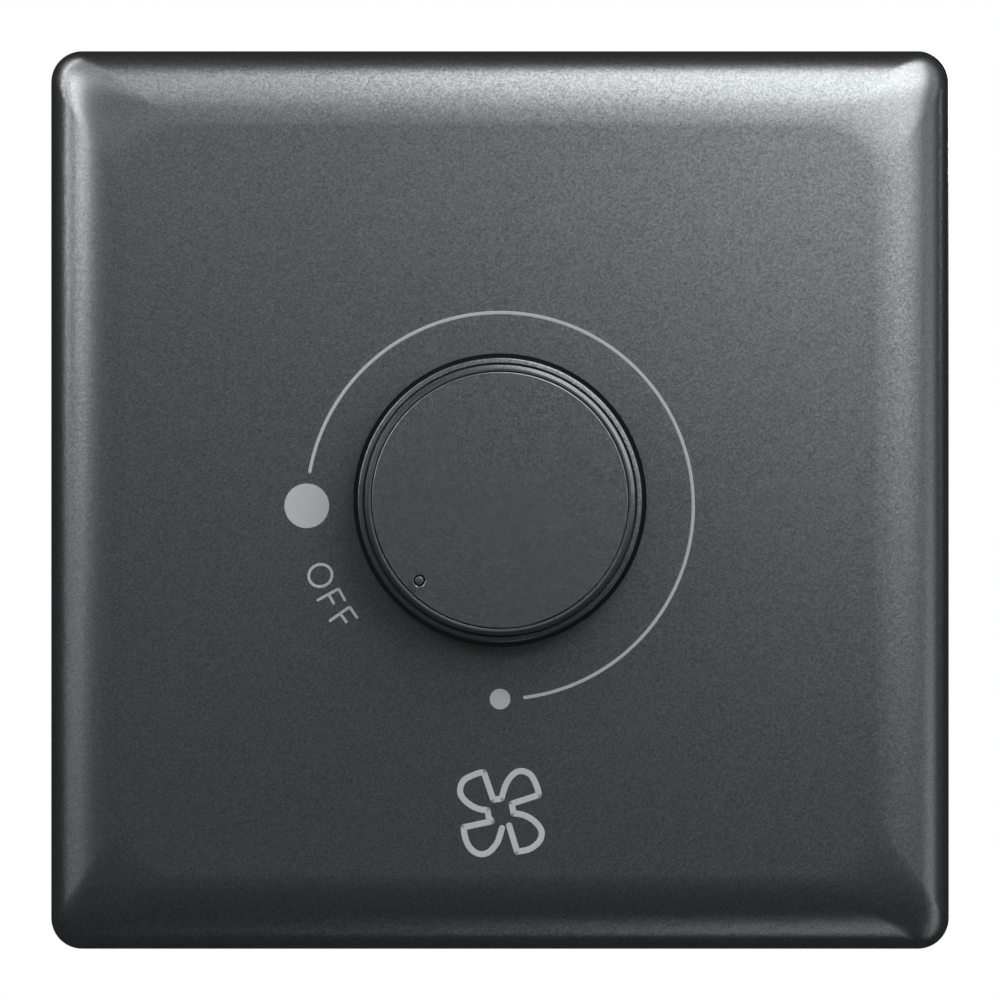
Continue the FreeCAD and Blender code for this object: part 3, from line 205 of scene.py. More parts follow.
class DialSettings(bpy.types.PropertyGroup):
    drop: FloatProperty(
        name="Dial offset", description="How far the dial's centre lies below the knob's axis",
        default=0.56 * MM, **LENGTH)
    radius: FloatProperty(
        name="Dial radius", description="Radius of the printed arc",
        default=18.69 * MM, **LENGTH)
    line: FloatProperty(
        name="Arc line", description="Width of the arc's line", default=0.32 * MM, **FINE_LENGTH)
    arc_start: FloatProperty(
        name="Arc start", description="Direction of the arc's fast end from the dial's centre",
        default=math.radians(169.8), unit="ROTATION")
    arc_end: FloatProperty(
        name="Arc end", description="Direction of the arc's slow end from the dial's centre",
        default=math.radians(-82.7), unit="ROTATION")
    fast_dot: FloatProperty(
        name="Fast dot radius", description="Radius of the large dot",
        default=2.16 * MM, **LENGTH)
    slow_dot: FloatProperty(
        name="Slow dot radius", description="Radius of the small dot",
        default=1.0 * MM, **LENGTH)
    letter_radius: FloatProperty(
        name="Letter distance", description="Distance of the word's middle line from the knob's axis",
        default=18.95 * MM, **LENGTH)
    letter_height: FloatProperty(
        name="Letter height", description="Height of the word OFF",
        default=2.56 * MM, **LENGTH)
    letter_line: FloatProperty(
        name="Letter line", description="Width of the letters' strokes",
        default=0.28 * MM, **FINE_LENGTH)
    sign_drop: FloatProperty(
        name="Sign offset", description="How far the fan sign's middle lies below the knob's axis",
        default=30.2 * MM, **LENGTH)
    sign_line: FloatProperty(
        name="Sign line", description="Width of the fan sign's strokes",
        default=0.59 * MM, **FINE_LENGTH)
    ink: FloatProperty(
        name="Ink thickness", description="Half the thickness of the printed lines",
        default=0.012 * MM, **FINE_LENGTH)
    colour: StringProperty(
        name="Ink colour", description="sRGB hex value of the printing ink", default="#a2a4a6")


class StageSettings(bpy.types.PropertyGroup):
    camera_distance: FloatProperty(
        name="Camera distance", description="From the plate's front edge to the camera",
        default=1.5, unit="LENGTH")
    view_width: FloatProperty(
        name="View width", description="Width of the picture at the plate",
        default=96.93 * MM, **LENGTH)
    floor_drop: FloatProperty(
        name="Floor drop", description="From the plate's lower edge down to the floor",
        default=0.03, unit="LENGTH")
    floor_colour: StringProperty(
        name="Floor colour", description="sRGB hex value of the floor", default="#e9e9e9")


SETTINGS = {
    "fan_cover": CoverSettings,
    "fan_knob": KnobSettings,
    "fan_dial": DialSettings,
    "fan_stage": StageSettings,
}


# Small helpers

def srgb(value):
    """Linear colour with alpha from an sRGB hex value."""
    channels = [int(value[i:i + 2], 16) / 255 for i in (1, 3, 5)]
    linear = [c / 12.92 if c <= 0.04045 else ((c + 0.055) / 1.055) ** 2.4 for c in channels]
    return (*linear, 1.0)


def add_node(tree, kind, settings=None, **inputs):
    """Adds a node; settings are its own values, and inputs are values or sockets for its inputs."""
    node = tree.nodes.new(kind)
    for key, value in (settings or {}).items():
        setattr(node, key, value)
    for key, value in inputs.items():
        name = key.replace("_", " ")
        socket = node.inputs[int(key[1:])] if key[0] == "i" and key[1:].isdigit() else node.inputs[name]
        if isinstance(value, bpy.types.NodeSocket):
            tree.links.new(value, socket)
        else:
            socket.default_value = value
    return node


def new_material(name):
    """Empty node material and its tree."""
    material = bpy.data.materials.new(name)
    material.use_nodes = True
    tree = material.node_tree
    tree.nodes.clear()
    return material, tree


def linked(name, data):
    """New object in the scene."""
    made = bpy.data.objects.new(name, data)
    bpy.context.scene.collection.objects.link(made)
    return made


def shaded_object(name, bm, material):
    """Object made from a bmesh, with its faces outwards and its sharp edges kept."""
    bmesh.ops.recalc_face_normals(bm, faces=bm.faces)
    mesh = bpy.data.meshes.new(name)
    bm.to_mesh(mesh)
    bm.free()
    mesh.materials.append(material)
    mesh.shade_smooth()
    mesh.set_sharp_from_angle(angle=SHARP_ANGLE)
    return linked(name, mesh)


def mesh_object(name, bm, material):
    """Object made from a bmesh whose doubled points are merged first."""
    bmesh.ops.remove_doubles(bm, verts=bm.verts, dist=WELD)
    return shaded_object(name, bm, material)


def joined_pieces(name, pieces, material):
    """One object made of several meshes, all in one material."""
    bm = bmesh.new()
    for piece in pieces:
        bm.from_mesh(piece.data)
        bpy.data.objects.remove(piece)
    for face in bm.faces:
        face.material_index = 0
    return shaded_object(name, bm, material)


def settled(made):
    """Turns an object's modifiers into a plain mesh."""
    bpy.context.view_layer.update()
    depsgraph = bpy.context.evaluated_depsgraph_get()
    mesh = bpy.data.meshes.new_from_object(made.evaluated_get(depsgraph), depsgraph=depsgraph)
    made.modifiers.clear()
    if made.type == "MESH":
        made.data = mesh
        return made
    name = made.name
    bpy.data.objects.remove(made)
    return linked(name, mesh)


def cut_away(made, cutters):
    """Subtracts objects from another and removes them."""
    for cutter in cutters:
        modifier = made.modifiers.new("Cut", "BOOLEAN")
        modifier.operation = "DIFFERENCE"
        modifier.solver = "EXACT"
        modifier.object = cutter
    settled(made)
    for cutter in cutters:
        bpy.data.objects.remove(cutter)
    return made


def even_normals(made):
    """Lets large faces set the shading next to small ones."""
    made.data.shade_smooth()
    made.data.set_sharp_from_angle(angle=SHARP_ANGLE)
    modifier = made.modifiers.new("Even shading", "WEIGHTED_NORMAL")
    modifier.keep_sharp = True
    modifier.weight = 100
    return settled(made)


def placed(made, body, slot_name, *replaced):
    """Ties a finished piece to its body and hides the CAD nodes it stands for; slot_name is not used."""
    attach(made, body)
    if replaced:
        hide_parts(*replaced)
    return made


def clock_point(u, v, angle):
    """Where a point at (u across, v outwards) lies after a clockwise turn in degrees."""
    turn = math.radians(angle)
    return u * math.cos(turn) + v * math.sin(turn), v * math.cos(turn) - u * math.sin(turn)


# Shapes

def rounded_square(half, radius, y, steps=12):
    """Points round a square with rounded corners at a level of y."""
    points = []
    for corner in range(4):
        middle = math.radians(90 * corner)
        cx = (half - radius) * (1 if corner in (0, 3) else -1)
        cz = (half - radius) * (1 if corner in (0, 1) else -1)
        for step in range(steps + 1):
            angle = middle + math.radians(90) * step / steps
            points.append(Vector((cx + radius * math.cos(angle), y, cz + radius * math.sin(angle))))
    return points


def loft(bm, rings):
    """Closed shell through rings of the same number of points."""
    made = [[bm.verts.new(point) for point in ring] for ring in rings]
    count = len(made[0])
    for low, high in zip(made, made[1:]):
        for i in range(count):
            j = (i + 1) % count
            bm.faces.new((low[i], low[j], high[j], high[i]))
    bm.faces.new(made[0])
    bm.faces.new(made[-1])


def crowned_shell(bm, half, corner, face_corner, across, back, depth, steps):
    """Square block from the wall plane, with its front edge rounded to a quarter of an ellipse."""
    start = -(depth - back)
    rings = [rounded_square(half, corner, 0.0), rounded_square(half, corner, start)]
    for step in range(1, steps + 1):
        turn = math.radians(90) * step / steps
        share = 1 - math.cos(turn)
        radius = corner + (face_corner - corner) * share
        rings.append(rounded_square(half - across * share, radius, start - back * math.sin(turn)))
    loft(bm, rings)


def add_block(bm, low, high, angle=0.0):
    """Box between two corners, turned clockwise about the knob's axis."""
    made = bmesh.ops.create_cube(bm, size=1.0)["verts"]
    size = Vector(high) - Vector(low)
    middle = (Vector(high) + Vector(low)) / 2
    place = Matrix.Rotation(math.radians(angle), 4, "Y") @ Matrix.Translation(middle)
    place = place @ Matrix.Diagonal((*size, 1.0))
    bmesh.ops.transform(bm, matrix=place, verts=made)


def rounded_profile(corners, steps=6):
    """Points of a closed outline of (radius, y) or (radius, y, rounding) corners."""
    points = []
    count = len(corners)
    for i, corner in enumerate(corners):
        here = Vector(corner[:2])
        if len(corner) == 2:
            points.append(here)
            continue
        back = (Vector(corners[i - 1][:2]) - here).normalized()
        ahead = (Vector(corners[(i + 1) % count][:2]) - here).normalized()
        half = back.angle(ahead) / 2
        reach = corner[2] / math.tan(half)
        centre = here + (back + ahead).normalized() * corner[2] / math.sin(half)
        start = (here + back * reach - centre).normalized()
        end = (here + ahead * reach - centre).normalized()
        for step in range(steps + 1):
            points.append(centre + start.slerp(end, step / steps) * corner[2])
    return points


def lathe(bm, corners, segments, centre=(0.0, 0.0)):
    """Closed solid of revolution about an axis along Y."""
    profile = rounded_profile(corners)
    rings = []
    for radius, y in profile:
        if radius < WELD:
            rings.append([bm.verts.new((centre[0], y, centre[1]))])
            continue
        ring = []
        for i in range(segments):
            angle = 2 * math.pi * i / segments
            ring.append(bm.verts.new(
                (centre[0] + radius * math.cos(angle), y, centre[1] + radius * math.sin(angle))))
        rings.append(ring)
    for low, high in zip(rings, rings[1:] + rings[:1]):
        if len(low) == 1 and len(high) == 1:
            continue
        for i in range(segments):
            j = (i + 1) % segments
            if len(low) == 1:
                bm.faces.new((low[0], high[j], high[i]))
            elif len(high) == 1:
                bm.faces.new((low[i], low[j], high[0]))
            else:
                bm.faces.new((low[i], low[j], high[j], high[i]))


def add_tube(bm, inner, outer, low, high, segments, centre=(0.0, 0.0)):
    """Plain tube along Y between two levels, or a rod where inner is 0."""
    lathe(bm, [(inner, low), (outer, low), (outer, high), (inner, high)], segments, centre)


# Materials

def mottled(tree, factor, hex_colour, spread):
    """Colour that a factor makes darker or paler by a share."""
    shade = srgb(hex_colour)
    mix = add_node(
        tree, "ShaderNodeMix", {"data_type": "RGBA"}, i0=factor,
        i6=tuple(c * (1 - spread) for c in shade[:3]) + (1.0,),
        i7=tuple(min(c * (1 + spread), 1.0) for c in shade[:3]) + (1.0,))
    return mix.outputs[2]


def surface_bump(tree, coords, scale, height, stretch, normal):
    """Fine noise bump on a given normal; scale is one bump's width and height its rise."""
    mapping = add_node(tree, "ShaderNodeMapping", Vector=coords, Scale=stretch)
    noise = add_node(
        tree, "ShaderNodeTexNoise", {"noise_dimensions": "3D"},
        Vector=mapping.outputs["Vector"], Scale=1.0 / scale, Detail=3.0, Roughness=0.6)
    bump = add_node(
        tree, "ShaderNodeBump", Height=noise.outputs["Fac"], Distance=height, Strength=1.0, Normal=normal)
    return noise.outputs["Fac"], bump.outputs["Normal"]


def edge_wear(tree, radius, colour, worn, amount):
    """Colour that turns to the worn one along edges, and the softened normal."""
    bevel = add_node(tree, "ShaderNodeBevel", {"samples": 4}, Radius=radius)
    geometry = add_node(tree, "ShaderNodeNewGeometry")
    dot = add_node(
        tree, "ShaderNodeVectorMath", {"operation": "DOT_PRODUCT"},
        i0=bevel.outputs["Normal"], i1=geometry.outputs["Normal"])
    edge = add_node(
        tree, "ShaderNodeMapRange", Value=dot.outputs["Value"],
        From_Min=1.0, From_Max=0.85, To_Min=0.0, To_Max=amount)
    mix = add_node(
        tree, "ShaderNodeMix", {"data_type": "RGBA"}, i0=edge.outputs["Result"], i6=colour, i7=worn)
    return mix.outputs[2], bevel.outputs["Normal"]


def finish_material(
        name, colour, rough, metallic=0.0, ior=1.5, coat=0.0, glass=0.0, cloud=4.0, spread=0.06, grain=0.3,
        height=0.004, stretch=(1, 1, 1), rough_spread=0.08, worn="", wear=0.3, soften=0.08):
    """Material from its colour, its clouds, its grain and its worn edges, with lengths in mm."""
    material, tree = new_material(name)
    coords = add_node(tree, "ShaderNodeTexCoord").outputs["Object"]
    clouds = add_node(
        tree, "ShaderNodeTexNoise", Vector=coords, Scale=1.0 / (cloud * MM), Detail=4.0, Roughness=0.6)
    tone = mottled(tree, clouds.outputs["Fac"], colour, spread)
    shade, soft = edge_wear(tree, soften * MM, tone, srgb(worn or colour), wear)
    bumps, normal = surface_bump(tree, coords, grain * MM, height * MM, stretch, soft)
    roughness = add_node(
        tree, "ShaderNodeMapRange", Value=bumps, From_Min=0.3, From_Max=0.7,
        To_Min=rough - rough_spread, To_Max=rough + rough_spread)
    shader = add_node(
        tree, "ShaderNodeBsdfPrincipled", Base_Color=shade, Roughness=roughness.outputs["Result"],
        Normal=normal, Metallic=metallic, Transmission_Weight=glass, Coat_Weight=coat)
    if not metallic:
        shader.inputs["IOR"].default_value = ior
    if coat:
        shader.inputs["Coat Roughness"].default_value = 0.08
    add_node(tree, "ShaderNodeOutputMaterial", Surface=shader.outputs["BSDF"])
    return material


def flake_paint(name, hex_colour, flake, rough, tilt, depth, bare_and_shade=""):
    """Metallic satin paint: flecks that differ in tone by depth and in direction by tilt.

    It covers all faces or, where a second colour is given, only those that face the front; the faces turned
    away take that colour as flat diffuse, for unsprayed plastic and as painted shade in grooves.
    """
    material, tree = new_material(name)
    coords = add_node(tree, "ShaderNodeTexCoord").outputs["Object"]
    cells = add_node(
        tree, "ShaderNodeTexVoronoi", {"feature": "F1"}, Vector=coords, Scale=1.0 / flake)
    parts = add_node(tree, "ShaderNodeSeparateColor", Color=cells.outputs["Color"])
    tone = mottled(tree, parts.outputs["Red"], hex_colour, depth)
    centred = add_node(
        tree, "ShaderNodeVectorMath", {"operation": "SUBTRACT"},
        i0=cells.outputs["Color"], i1=(0.5, 0.5, 0.5))
    tilted = add_node(
        tree, "ShaderNodeVectorMath", {"operation": "SCALE"},
        i0=centred.outputs["Vector"], Scale=tilt)
    geometry = add_node(tree, "ShaderNodeNewGeometry")
    added = add_node(
        tree, "ShaderNodeVectorMath", {"operation": "ADD"},
        i0=geometry.outputs["Normal"], i1=tilted.outputs["Vector"])
    fleck = add_node(
        tree, "ShaderNodeVectorMath", {"operation": "NORMALIZE"}, i0=added.outputs["Vector"])
    shader = add_node(
        tree, "ShaderNodeBsdfPrincipled", Base_Color=tone, Metallic=0.95, Roughness=rough,
        Normal=fleck.outputs["Vector"])
    surface = shader.outputs["BSDF"]
    if bare_and_shade:
        # The paint fades out on faces that turn 60 to 72 degrees away from the front; beyond that the flat
        # black is unsprayed plastic and also painted shade
        matt = add_node(tree, "ShaderNodeBsdfDiffuse", Color=srgb(bare_and_shade), Roughness=0.6)
        facing = add_node(tree, "ShaderNodeTexCoord").outputs["Normal"]
        parted = add_node(tree, "ShaderNodeSeparateXYZ", Vector=facing)
        sprayed = add_node(
            tree, "ShaderNodeMapRange", Value=parted.outputs["Y"], From_Min=-0.3, From_Max=-0.5)
        mixed = add_node(
            tree, "ShaderNodeMixShader", i0=sprayed.outputs["Result"], i1=matt.outputs["BSDF"], i2=surface)
        surface = mixed.outputs["Shader"]
    add_node(tree, "ShaderNodeOutputMaterial", Surface=surface)
    return material


def print_ink(hex_colour):
    """Screen-printing ink: flat grey with a faint unevenness."""
    material, tree = new_material("Grey screen-printing ink")
    coords = add_node(tree, "ShaderNodeTexCoord").outputs["Object"]
    mottle = add_node(tree, "ShaderNodeTexNoise", Vector=coords, Scale=1.0 / (0.25 * MM), Detail=2.0)
    tone = mottled(tree, mottle.outputs["Fac"], hex_colour, 0.04)
    shader = add_node(tree, "ShaderNodeBsdfPrincipled", Base_Color=tone, Roughness=0.55)
    add_node(tree, "ShaderNodeOutputMaterial", Surface=shader.outputs["BSDF"])
    return material


# One entry for each finish of the pieces behind the plate: its real material, how it is made and what that
# shows, with lengths in mm. Grain finer than about 0.1 mm is drawn coarser, so that it shows.

FINISHES = {
    # Moulded glass-filled nylon, spark-eroded mould: dull, even grain and paler worn edges
    "Black glass-filled nylon, moulded": (["rear_housing", "housing_lid"], dict(
        colour="#26272a", rough=0.52, grain=0.35, height=0.01, worn="#4a4b4e", wear=0.5, soften=0.12)),
    # Moulded polycarbonate, plain mould: smoother and a little lighter than the housing
    "Grey polycarbonate, moulded": (["support_frame"], dict(
        colour="#3c3e41", rough=0.42, grain=0.5, height=0.006, worn="#5d5f62", wear=0.4, soften=0.15)),
    # Zinc plating on steel: bluish, slightly mottled shine
    "Zinc-plated steel": (["housing_screws", "board_screws", "power_screw"], dict(
        colour="#b9bec6", rough=0.3, metallic=1.0, grain=0.4, height=0.003, worn="#d8dade", cloud=1.2,
        spread=0.1)),
    # Nickel plating on steel: warm, brighter shine
    "Nickel-plated steel": (["terminal_screws", "bush_washer"], dict(
        colour="#c9c4ba", rough=0.24, metallic=1.0, grain=0.4, height=0.002, worn="#e0dcd4")),
    # Rolled steel sheet: long fine rolling marks
    "Tinned steel sheet, pressed": (["control_plate", "control_case"], dict(
        colour="#a9aaab", rough=0.34, metallic=1.0, grain=0.25, height=0.004, stretch=(1, 1, 0.1),
        worn="#c8c9ca")),
    # Hardened wire: dark oil finish with bright edges
    "Spring steel, oiled": (["shaft_clip", "knob_spring"], dict(
        colour="#5b5a59", rough=0.32, metallic=1.0, worn="#98989a", wear=0.6)),
    # Rolled aluminium: fine marks along the sheet and bright sheared edges
    "Aluminium sheet, rolled": (["heat_sink"], dict(
        colour="#c6c8ca", rough=0.36, metallic=1.0, grain=0.3, height=0.005, stretch=(0.08, 1, 1),
        worn="#e2e3e4")),
    # Turned aluminium: rings of fine tool marks
    "Aluminium bar, turned": (["control_shaft"], dict(
        colour="#cbccce", rough=0.28, metallic=1.0, grain=0.12, height=0.003, stretch=(0.2, 1, 0.2),
        worn="#e4e4e6")),
    # Turned brass: warm, with tool marks
    "Brass bar, turned": (["control_bush", "bush_nut"], dict(
        colour="#d6b36a", rough=0.25, metallic=1.0, grain=0.12, height=0.003, stretch=(0.2, 1, 0.2),
        worn="#ecd193")),
    # Extruded brass, sawn and drilled: satin with brighter edges
    "Brass block, extruded": (["terminal_clamps"], dict(
        colour="#c9a55c", rough=0.33, metallic=1.0, grain=0.3, height=0.004, worn="#e8cb88", cloud=2,
        spread=0.1)),
    # Rolled bronze strip: reddish satin
    "Phosphor bronze strip": (["switch_blade", "fixed_contact", "wiper_spring"], dict(
        colour="#c08a5c", rough=0.28, metallic=1.0, grain=0.2, height=0.002, worn="#e0b084")),
    # Tin on brass: pale and slightly cloudy
    "Tinned brass strip": (["track_terminals"], dict(
        colour="#b5b4ae", rough=0.38, metallic=1.0, cloud=1, spread=0.12, worn="#d3d2cc")),
    # Enamelled copper wire: glossy red-brown lacquer over metal
    "Copper wire, enamelled": (["choke_winding"], dict(
        colour="#9c4a26", rough=0.2, metallic=0.85, coat=0.8, worn="#b96238")),
    # Transfer-moulded epoxy: matt black, faint mould grain
    "Black epoxy, transfer moulded": (["power_switch"], dict(
        colour="#1d1d1f", rough=0.58, grain=0.15, height=0.006, worn="#38383a")),
    # Filled silicone sheet: soft, dull grey-blue
    "Silicone pad, filled": (["power_pad"], dict(
        colour="#8a989c", rough=0.75, grain=0.2)),
    # Glass-epoxy laminate under green lacquer: faint weave and a light gloss
    "Board laminate, green lacquer": (["circuit_board"], dict(
        colour="#2c5b34", rough=0.35, grain=0.6, height=0.006, stretch=(1, 1, 0.4), coat=0.3, worn="#8a9560",
        wear=0.6)),
    # Phenolic paper laminate: brown with fine fibres
    "Phenolic laminate, punched": (["track_wafer", "switch_base"], dict(
        colour="#7d5733", rough=0.5, grain=0.4, height=0.006, stretch=(0.15, 1, 1), worn="#9c7750")),
    # Dipped and potted plastic cases: smooth gloss
    "Yellow capacitor case, moulded": (["suppression_capacitor"], dict(
        colour="#cfa838", rough=0.28, grain=0.5, height=0.003, worn="#e3c468")),
    "Red capacitor case, moulded": (["timing_capacitor"], dict(
        colour="#8c3326", rough=0.26, grain=0.5, height=0.003, worn="#aa5548")),
    # Sintered ferrite: matt, near black, slightly speckled
    "Ferrite, sintered": (["choke_core"], dict(
        colour="#2b2b2d", rough=0.68, grain=0.12, height=0.008, spread=0.15, cloud=0.4, worn="#4a4a4c")),
    # Pressed steatite: off-white, dull
    "Steatite ceramic, pressed": (["fuse_link"], dict(
        colour="#cfcbbf", rough=0.55, grain=0.2, height=0.006)),
    # Lacquered ceramic rods: glossy beige
    "Resistor lacquer on ceramic": (["resistors"], dict(
        colour="#b49a6c", rough=0.3, coat=0.5, grain=0.4, height=0.01)),
    # Drawn glass tube: clear amber
    "Amber glass, drawn": (["trigger_diode"], dict(
        colour="#b0683a", rough=0.08, rough_spread=0.02, glass=0.6, ior=1.5, height=0.001)),
    # Acetal, moulded: white, waxy satin
    "White acetal, moulded": (["wiper_carrier"], dict(
        colour="#dcdbd6", rough=0.4, grain=0.4, height=0.003)),
}


# Printed lines, made by one node tree

def ink_tree():
    """Node tree that gives a curve a flat inked width with round ends."""
    tree = bpy.data.node_groups.new("Printed line", "GeometryNodeTree")
    face = tree.interface
    face.new_socket(name="Geometry", in_out="INPUT", socket_type="NodeSocketGeometry")
    for name, kind in (
        ("Line Width", "NodeSocketFloat"),
        ("Ink Thickness", "NodeSocketFloat"),
        ("Centre", "NodeSocketVector"),
        ("Ink", "NodeSocketMaterial"),
    ):
        face.new_socket(name=name, in_out="INPUT", socket_type=kind)
    face.new_socket(name="Geometry", in_out="OUTPUT", socket_type="NodeSocketGeometry")
    given = add_node(tree, "NodeGroupInput").outputs
    half = add_node(tree, "ShaderNodeMath", {"operation": "MULTIPLY"}, i0=given["Line Width"], i1=0.5)
    circle = add_node(tree, "GeometryNodeCurvePrimitiveCircle", Resolution=16, Radius=half.outputs[0])
    sweep = add_node(
        tree, "GeometryNodeCurveToMesh", Curve=given["Geometry"], Profile_Curve=circle.outputs["Curve"])
    ends = add_node(tree, "GeometryNodeCurveEndpointSelection")
    tip = add_node(tree, "GeometryNodeMeshUVSphere", Segments=24, Rings=12, Radius=half.outputs[0])
    tips = add_node(
        tree, "GeometryNodeInstanceOnPoints", Points=given["Geometry"], Selection=ends.outputs["Selection"],
        Instance=tip.outputs["Mesh"])
    both = add_node(tree, "GeometryNodeJoinGeometry")
    tree.links.new(sweep.outputs["Mesh"], both.inputs[0])
    tree.links.new(tips.outputs["Instances"], both.inputs[0])
    squash = add_node(
        tree, "ShaderNodeMath", {"operation": "DIVIDE"}, i0=given["Ink Thickness"], i1=half.outputs[0])
    flat = add_node(tree, "ShaderNodeCombineXYZ", X=1.0, Y=squash.outputs[0], Z=1.0)
    line = add_node(
        tree, "GeometryNodeTransform", Geometry=both.outputs["Geometry"], Translation=given["Centre"],
        Scale=flat.outputs["Vector"])
    real = add_node(tree, "GeometryNodeRealizeInstances", Geometry=line.outputs["Geometry"])
    inked = add_node(
        tree, "GeometryNodeSetMaterial", Geometry=real.outputs["Geometry"], Material=given["Ink"])
    add_node(tree, "NodeGroupOutput", Geometry=inked.outputs["Geometry"])
    return tree


def printed_lines(name, runs, width, centre, ink, tree):
    """Mesh of printed lines; runs are lists of (x, z) points, and a closed run repeats its first point."""
    curve = bpy.data.curves.new(name, "CURVE")
    curve.dimensions = "3D"
    for run in runs:
        closed = len(run) > 2 and run[0] == run[-1]
        points = run[:-1] if closed else run
        spline = curve.splines.new("POLY")
        spline.points.add(len(points) - 1)
        for point, (x, z) in zip(spline.points, points):
            point.co = (x, 0.0, z, 1.0)
        spline.use_cyclic_u = closed
    made = linked(name, curve)
    modifier = made.modifiers.new("Printed line", "NODES")
    modifier.node_group = tree
    values = {
        "Line Width": width,
        "Ink Thickness": bpy.context.scene.fan_dial.ink,
        "Centre": (centre[0], FACE_Y, centre[1]),
        "Ink": ink,
    }
    for item in tree.interface.items_tree:
        if item.in_out == "INPUT" and item.name in values:
            modifier[item.identifier] = values[item.name]
    return settled(made)


def in_metres(points):
    """Points given in mm, in the file's unit."""
    return [(x * MM, z * MM) for x, z in points]


def smooth_run(points, steps=8):
    """Points along a smooth curve through the given ones."""
    ends = [points[0]] + points + [points[-1]]
    run = []
    for p0, p1, p2, p3 in zip(ends, ends[1:], ends[2:], ends[3:]):
        for step in range(steps):
            t = step / steps
            run.append(tuple(
                0.5 * (2 * b + (c - a) * t + (2 * a - 5 * b + 4 * c - d) * t ** 2
                       + (3 * b - a - 3 * c + d) * t ** 3)
                for a, b, c, d in zip(p0, p1, p2, p3)))
    run.append(points[-1])
    return run


# Operators, one for each piece or group of like pieces

class FAN_OT_cover(bpy.types.Operator):
    """Makes the smooth face plate with its hollow back, ribs and hooks"""
    bl_idname = "fan.cover"
    bl_label = "Face Plate"

    def execute(self, context):
        s = context.scene.fan_cover
        # Metallic lacquer sprayed on moulded ABS: a satin sheen with flecks that glint one by one
        paint = flake_paint(
            "Metallic grey lacquer on ABS", s.colour, s.flake, rough=0.275, tilt=0.04, depth=0.2)
        depth = -FACE_Y
        over = 1 * MM
        bm = bmesh.new()
        crowned_shell(
            bm, PLATE_HALF, s.corner_radius, s.face_corner_radius, s.edge_in, s.edge_back, depth, steps=32)
        cover = mesh_object("face_plate", bm, paint)
        cutters = self.cutters(s, paint, depth, over)
        cut_away(cover, cutters)
        even_normals(cover)
        inner = bmesh.new()
        inner.from_mesh(cover.data)
        front = -(depth - s.front)
        self.add_ribs(inner, s, front)
        for side_x in (-1, 1):
            for side_z in (-1, 1):
                self.add_hook(inner, s, side_x, side_z, front)
        inner.to_mesh(cover.data)
        inner.free()
        even_normals(cover)
        placed(cover, FIXED_BODY, "cover", "front_cover")
        return {"FINISHED"}

    def cutters(self, s, paint, depth, over):
        """Hollow of the back, hole behind the knob and notch for a screwdriver in the lower edge."""
        corner, face_corner, edge = 1.8 * MM, 3.3 * MM, 1.5 * MM
        notch_half, notch_deep = 5.0 * MM, 1.2 * MM
        half = PLATE_HALF - s.wall
        inside = bmesh.new()
        crowned_shell(inside, half, corner, face_corner, edge, edge, depth - s.front, steps=6)
        cavity = mesh_object("cavity", inside, paint)
        for vertex in cavity.data.vertices:
            if vertex.co.y > -WELD:
                vertex.co.y = over
        hole = bmesh.new()
        add_tube(hole, 0, s.aperture_radius, FACE_Y * 1.2, over, segments=96)
        aperture = mesh_object("aperture", hole, paint)
        notch_mesh = bmesh.new()
        add_block(
            notch_mesh, (-notch_half, -notch_deep, -PLATE_HALF - s.wall),
            (notch_half, notch_deep, -half + s.wall))
        return cavity, aperture, mesh_object("notch", notch_mesh, paint)

    def add_ribs(self, bm, s, front):
        """Four straight ribs, a round one and a boss round the hole, on the back of the front wall."""
        sink, rise, boss_rise = 0.5 * MM, 1.0 * MM, 0.3 * MM
        rib_half, ring_radius, ring_wide = 0.5 * MM, 24 * MM, 1 * MM
        boss_wide, rib_gap = 1.6 * MM, 1.5 * MM
        root, rib_front = front - sink, front + rise
        reach = PLATE_HALF - s.wall + sink
        hole = s.aperture_radius
        for angle in (0, 90, 180, 270):
            add_block(bm, (-rib_half, root, hole + rib_gap), (rib_half, rib_front, reach), angle)
        add_tube(bm, ring_radius - ring_wide, ring_radius, root, rib_front, segments=96)
        add_tube(bm, hole, hole + boss_wide, root, rib_front + boss_rise, segments=96)

    def add_hook(self, bm, s, side_x, side_z, front):
        """Sprung leg with its barb, in one corner of the plate's back."""
        rim_gap, setback = 1.5 * MM, 4.6 * MM
        outer = PLATE_HALF - s.wall - rim_gap - setback
        leg_wide, barb_in, barb_out, barb_high = 1.2 * MM, 0.2 * MM, 0.7 * MM, 1.15 * MM
        root, end = front - 0.5 * MM, -0.3 * MM
        low, high = 19.0 * MM, 25.0 * MM
        spans = (
            ((outer - leg_wide, root), (outer, end)),
            ((outer - barb_in, -barb_high), (outer + barb_out, end)),
        )
        for (x0, y0), (x1, y1) in spans:
            xs = sorted((side_x * x0, side_x * x1))
            zs = sorted((side_z * low, side_z * high))
            add_block(bm, (xs[0], y0, zs[0]), (xs[1], y1, zs[1]))


